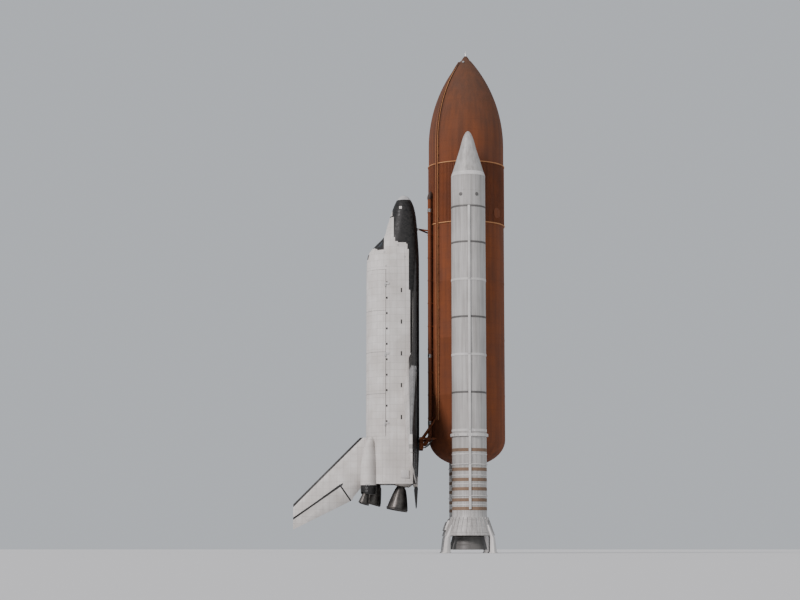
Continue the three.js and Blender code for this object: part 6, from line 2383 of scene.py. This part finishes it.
@dataclass
class Pod:
    """A manoeuvring pod with its engine and thrusters."""

    shop: Shop
    side: Side
    points: int = 56
    pitches: tuple[float, ...] = (-10.5, -5.25, 0.0, 5.25, 10.5)
    yaw: float = 8.5
    clear: float = 1.4

    bell = Bell(18.0, 5.0, 80.0, 22.0, 1.6, (30.0, 42.0, 54.0, 66.0), 0.9, 0.5)
    head = ((0.0, 1.8), (4.0, 1.8), (4.0, 7.0), (8.4, 8.0), (9.0, 8.6), (9.0, 13.4), (8.4, 14.0))
    room = ((0, -1.8), (13, -1.8), (14, 8), (22.5, 38), (29, 60), (0, 60))
    # Opposite corners of the fin's room and of the doors' room.
    boxes = (((1270, -30, 470), (1620, 30, 560)), ((1250, -130, 400), (1307.5, 130, 560)))
    # Columns: station, side, height, half width, half height.
    rows = (
        (1307.8, 74, 481, 3, 2.5),
        (1322, 74, 484, 19, 16),
        (1352, 74, 488, 28, 25),
        (1400, 75, 491, 34, 31),
        (1470, 78, 492, 36, 34),
        (1530, 84, 492, 34, 34),
        (1556, 88, 492, 30, 31),
    )
    # Thrusters. Columns: station, angle round the section in degrees, radius.
    thrusters = (
        (1516, 12, 2.8), (1529, 12, 2.8), (1542, 12, 2.8), (1516, -6, 2.8), (1529, 78, 2.6), (1542, 78, 2.6),
    )
    # Thrusters on the aft face, by side and height from the engine, and the outline of their rims.
    aft_ports = ((19.0, -12.0), (12.0, -20.5), (3.0, -24.0))
    aft_rim = ((3.2, 0), (3.2, 2.2), (2.4, 2.2), (2.2, 0.4))

    @property
    def held(self) -> Mounting:
        """Where the pod's engine swings."""
        sign = self.side.value
        return Mounting(1518.0, sign * 88.0, 492.0, 15.8, sign * 6.5)

    def place(self, row: Row, degrees: float) -> Vector:
        """A place on the pod's skin at an angle round a section, from its outer side upwards.

        Args:
            row: The section.
            degrees: The angle.

        Returns:
            The place.
        """
        station, side, height, half, rise = row
        out, up = half * math.cos(math.radians(degrees)), rise * math.sin(math.radians(degrees))
        return Place.orbiter(station, self.side.value * (side + out), height + up)

    def tools(self, body: Fuselage) -> list[Piece]:
        """What is cut from the pod: the fuselage, the fin's and doors' room and the engines' swing.

        Args:
            body: The fuselage.

        Returns:
            The cutters.
        """
        shapes = [body.hull(body.aft_rows, 1267, 1511, -0.038)]
        shapes += [Shape().orbiter_box(low, high) for low, high in self.boxes]
        upper, bell = MainEngine.table["upper"], MainEngine.bell
        skin = [(0.0, bell.throat)]
        for share in (0.0, 0.05, 0.15, 0.3, 0.5, 0.75, 1.0):
            along = bell.throat + (bell.exit - bell.throat) * share
            skin.append((bell.radius(along, self.clear), along))
        skin.append((0.0, bell.exit))
        for pitch in self.pitches:
            axis = upper.axis(pitch, self.side.value * self.yaw)
            shapes.append(Shape().turned(skin, upper.place, axis, 40))
        # The engine's room is lined with the near-black finish as painted shade.
        room = Shape().turned(self.room, self.held.place, self.held.axis(), 48)
        tools = [self.shop.make(shape, "pod_tool", "pod_tiles") for shape in shapes]
        return [*tools, self.shop.make(room, "pod_tool", "soot")]

    def build(self, body: Fuselage) -> None:
        """Builds the pod and its engine.

        Args:
            body: The fuselage.
        """
        label, held = self.side.label, self.held
        rings = []
        for station in span(self.rows[0][0], self.rows[-1][0], 34):
            row = smooth_row(self.rows, station)
            rings.append([self.place(row, 360 * i / self.points) for i in range(self.points)])
        shell = self.shop.make(Shape().loft(rings), "pod_shell", "pod_tiles")
        Bench.carve(shell, self.tools(body))
        details = Shape()
        for station, degrees, size in self.thrusters:
            row = smooth_row(self.rows, station)
            place = self.place(row, degrees)
            out = (place - Place.orbiter(station, self.side.value * row[1], row[2])).normalized()
            add_port(details, place, out, size, 1)
        for across, rise in self.aft_ports:
            place = Place.orbiter(1555.4, held.side + self.side.value * across, held.height + rise)
            details.turned(self.aft_rim, place, DOWN, 24, 1)
        ports = self.shop.make(details, "pod_details", "soot", "carbon")
        Bench.assemble(f"{label}_pod", "blanket", [shell, ports])
        engine = Shape().turned(self.bell.profile(self.head, 20), held.place, held.axis(), 64)
        made = self.shop.make(engine, f"{label}_pod_engine_skin", "dark_metal")
        Bench.place(made, f"{label}_pod_engine", "nozzle")
        self.shop.metal(f"{label}_pod_gimbal")


@dataclass
class Fin:
    """The vertical fin with its rudder, which is split into two speed brake panels."""

    shop: Shop

    root_height = 503.0
    root_start = 1280.9
    edge_tiles = 13.0
    rudder_foot = 604.0
    rudder_low = 610.0
    # Width of the painted shadow along the rudder's foot.
    foot_band = 8.5
    hinge_foot = 1442.0
    hinge_run = 219.7
    tip_rise = 315.7
    # How far ahead of the hinge line the middle of its black band is, and half the band's width.
    hinge_band_middle = 3.0
    hinge_band_half = 5.0

    @staticmethod
    def hinge_slope() -> float:
        """How far the hinge line runs aft for each inch up."""
        return Fin.hinge_run / Fin.tip_rise

    @staticmethod
    def foot_station() -> float:
        """The hinge line's station at the rudder's foot."""
        return Fin.hinge_foot + (Fin.rudder_low - Fin.root_height) * Fin.hinge_slope()

    def build(self) -> None:
        """Builds the fin and the rudder."""
        for node in ("vertical_fin", "left_rudder_panel", "right_rudder_panel"):
            made = Bench.copy_node(node, [self.shop.finishes["fin_tiles"]])
            Bench.place(Bench.bevel(made, 0.35, 1), node, "blanket")
        self.shop.metal("rudder_hub", "black_tiles")


@dataclass
class Wing:
    """One wing with its elevons and its leading edge of carbon panels."""

    shop: Shop
    side: Side
    panels: int = 18
    first: float = 176.0
    last: float = 462.0
    seam: float = 0.35
    seam_rise: float = 0.16
    glove_end: float = 1003.0

    def is_glove(self, middle: Vector) -> bool:
        """Whether a face's middle is on the glove ahead of the wing."""
        return middle.z > Place.orbiter(self.glove_end, 0, 0).z

    def underside(self, middle: Vector, normal: Vector) -> int:
        """Marks the faces that look at the tank, and the glove's edge."""
        return int(normal.y > 0.3 or (self.is_glove(middle) and normal.x * self.side.value > 0.12))

    def build(self) -> None:
        """Builds the wing's pieces."""
        finishes = [self.shop.finishes["wing_tiles"], self.shop.finishes["black_tiles"]]
        for part in ("wing", "inner_elevon", "outer_elevon"):
            node = f"{self.side.label}_{part}"
            Bench.place(Bench.copy_node(node, finishes, self.underside), node, "blanket")
        self.edge()

    def edge(self) -> None:
        """The grey leading edge with a seam between each two of its panels."""
        node, sign = f"{self.side.label}_wing_edge", self.side.value
        carbon, black, soot = (self.shop.finishes[name] for name in ("carbon", "black_tiles", "soot"))
        made = Bench.copy_node(
            node, [carbon, black], lambda middle, normal: int(self.is_glove(middle)), name=f"{node}_copy"
        )
        swollen = Bench.copy_node(node, [soot], name="seams")
        for point in swollen.data.vertices:
            point.co += point.normal * (self.seam_rise * INCH)
        step = Vector((sign * (self.last - self.first) / self.panels, 0.0, 0.0))
        slab = Shape().orbiter_box(
            (1340, sign * self.first, 330), (self.glove_end + 4, sign * (self.first + self.seam), 260)
        )
        Bench.carve(swollen, [self.shop.row(slab, "slabs", "soot", self.panels + 1, step)], "INTERSECT")
        Bench.assemble(node, "carbon", [made, swollen])


@dataclass(frozen=True)
class Studio:
    """Floor, light and camera of the photograph's side view."""

    height: float = 14.0
    away: float = 107.0
    eye: float = 0.25
    lens: float = 87.0
    far_clip: float = 2000.0
    floor_half: float = 400.0
    floor_deep: float = 0.05
    floor_grey: float = 0.62
    floor_rough: float = 0.9
    sky: Colour = (0.86, 0.9, 0.96, 1.0)
    sky_strength: float = 0.6
    # Lights. Columns: name, strength, width in degrees, direction that it shines in, colour.
    lights = (
        ("key", 3.3, 14.0, (-0.6, 0.56, -0.5), (1.0, 0.94, 0.94)),
        ("fill", 0.7, 60.0, (-0.75, -0.6, -0.2), (0.97, 1.0, 1.0)),
    )

    def build(self) -> None:
        """Builds the floor, the sky, the lights and the camera."""
        self.floor()
        world = bpy.data.worlds.new("studio")
        world.use_nodes = True
        back = world.node_tree.nodes["Background"].inputs
        back["Color"].default_value = self.sky
        back["Strength"].default_value = self.sky_strength
        bpy.context.scene.world = world
        for name, strength, width, aim, colour in self.lights:
            light = bpy.data.lights.new(name, "SUN")
            light.energy = strength
            light.angle = math.radians(width)
            light.color = colour
            self.link(name, light, Vector((0.0, 0.0, 0.0)), Vector(aim))
        camera = bpy.data.cameras.new("camera")
        camera.lens = self.lens
        camera.clip_end = self.far_clip
        eye = Vector((self.away, 0.0, self.eye))
        look = Vector((0.0, 0.0, self.height)) - eye
        bpy.context.scene.camera = self.link("camera", camera, eye, look)

    def floor(self) -> None:
        """The pale floor under the stack."""
        half = self.floor_half
        shape = Shape().box(Vector((-half, -half, -self.floor_deep)), Vector((half, half, 0.0)))
        material = bpy.data.materials.new("studio_floor")
        material.use_nodes = True
        shader = material.node_tree.nodes["Principled BSDF"].inputs
        shader["Base Color"].default_value = grey(self.floor_grey)
        shader["Roughness"].default_value = self.floor_rough
        shape.make("studio_floor", [material])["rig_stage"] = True

    @staticmethod
    def link(name: str, data: bpy.types.ID, place: Vector, aim: Vector) -> Piece:
        """Puts a light or a camera in the scene.

        Args:
            name: The object's name.
            data: The light or camera.
            place: Where it stands, in metres.
            aim: The direction that it looks in.

        Returns:
            The object.
        """
        made = bpy.data.objects.new(name, data)
        made.location = place
        made.rotation_euler = aim.to_track_quat("-Z", "Y").to_euler()
        bpy.context.scene.collection.objects.link(made)
        return made


def write_sizes() -> None:
    boxes = {"cad": cad_box, "visual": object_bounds()}
    plain = {name: [[float(v) for v in corner] for corner in box] for name, box in boxes.items()}


def main() -> None:
    """Builds the stack and its studio."""
    logging.basicConfig(level=logging.INFO, format="%(name)s %(message)s")
    shop = Shop()
    body = Fuselage(shop)
    Tank(shop).build()
    body.build()
    flap = Bench.copy_node("body_flap", [shop.finishes["black_tiles"]])
    Bench.place(flap, "body_flap", "black_tile")
    for name in MainEngine.table:
        MainEngine(shop, name).build()
    Fin(shop).build()
    for side in Side:
        Booster(shop, side).build()
        Wing(shop, side).build()
        Pod(shop, side).build(body)
    Studio().build()
    write_sizes()


if __name__ == "__main__":
    main()
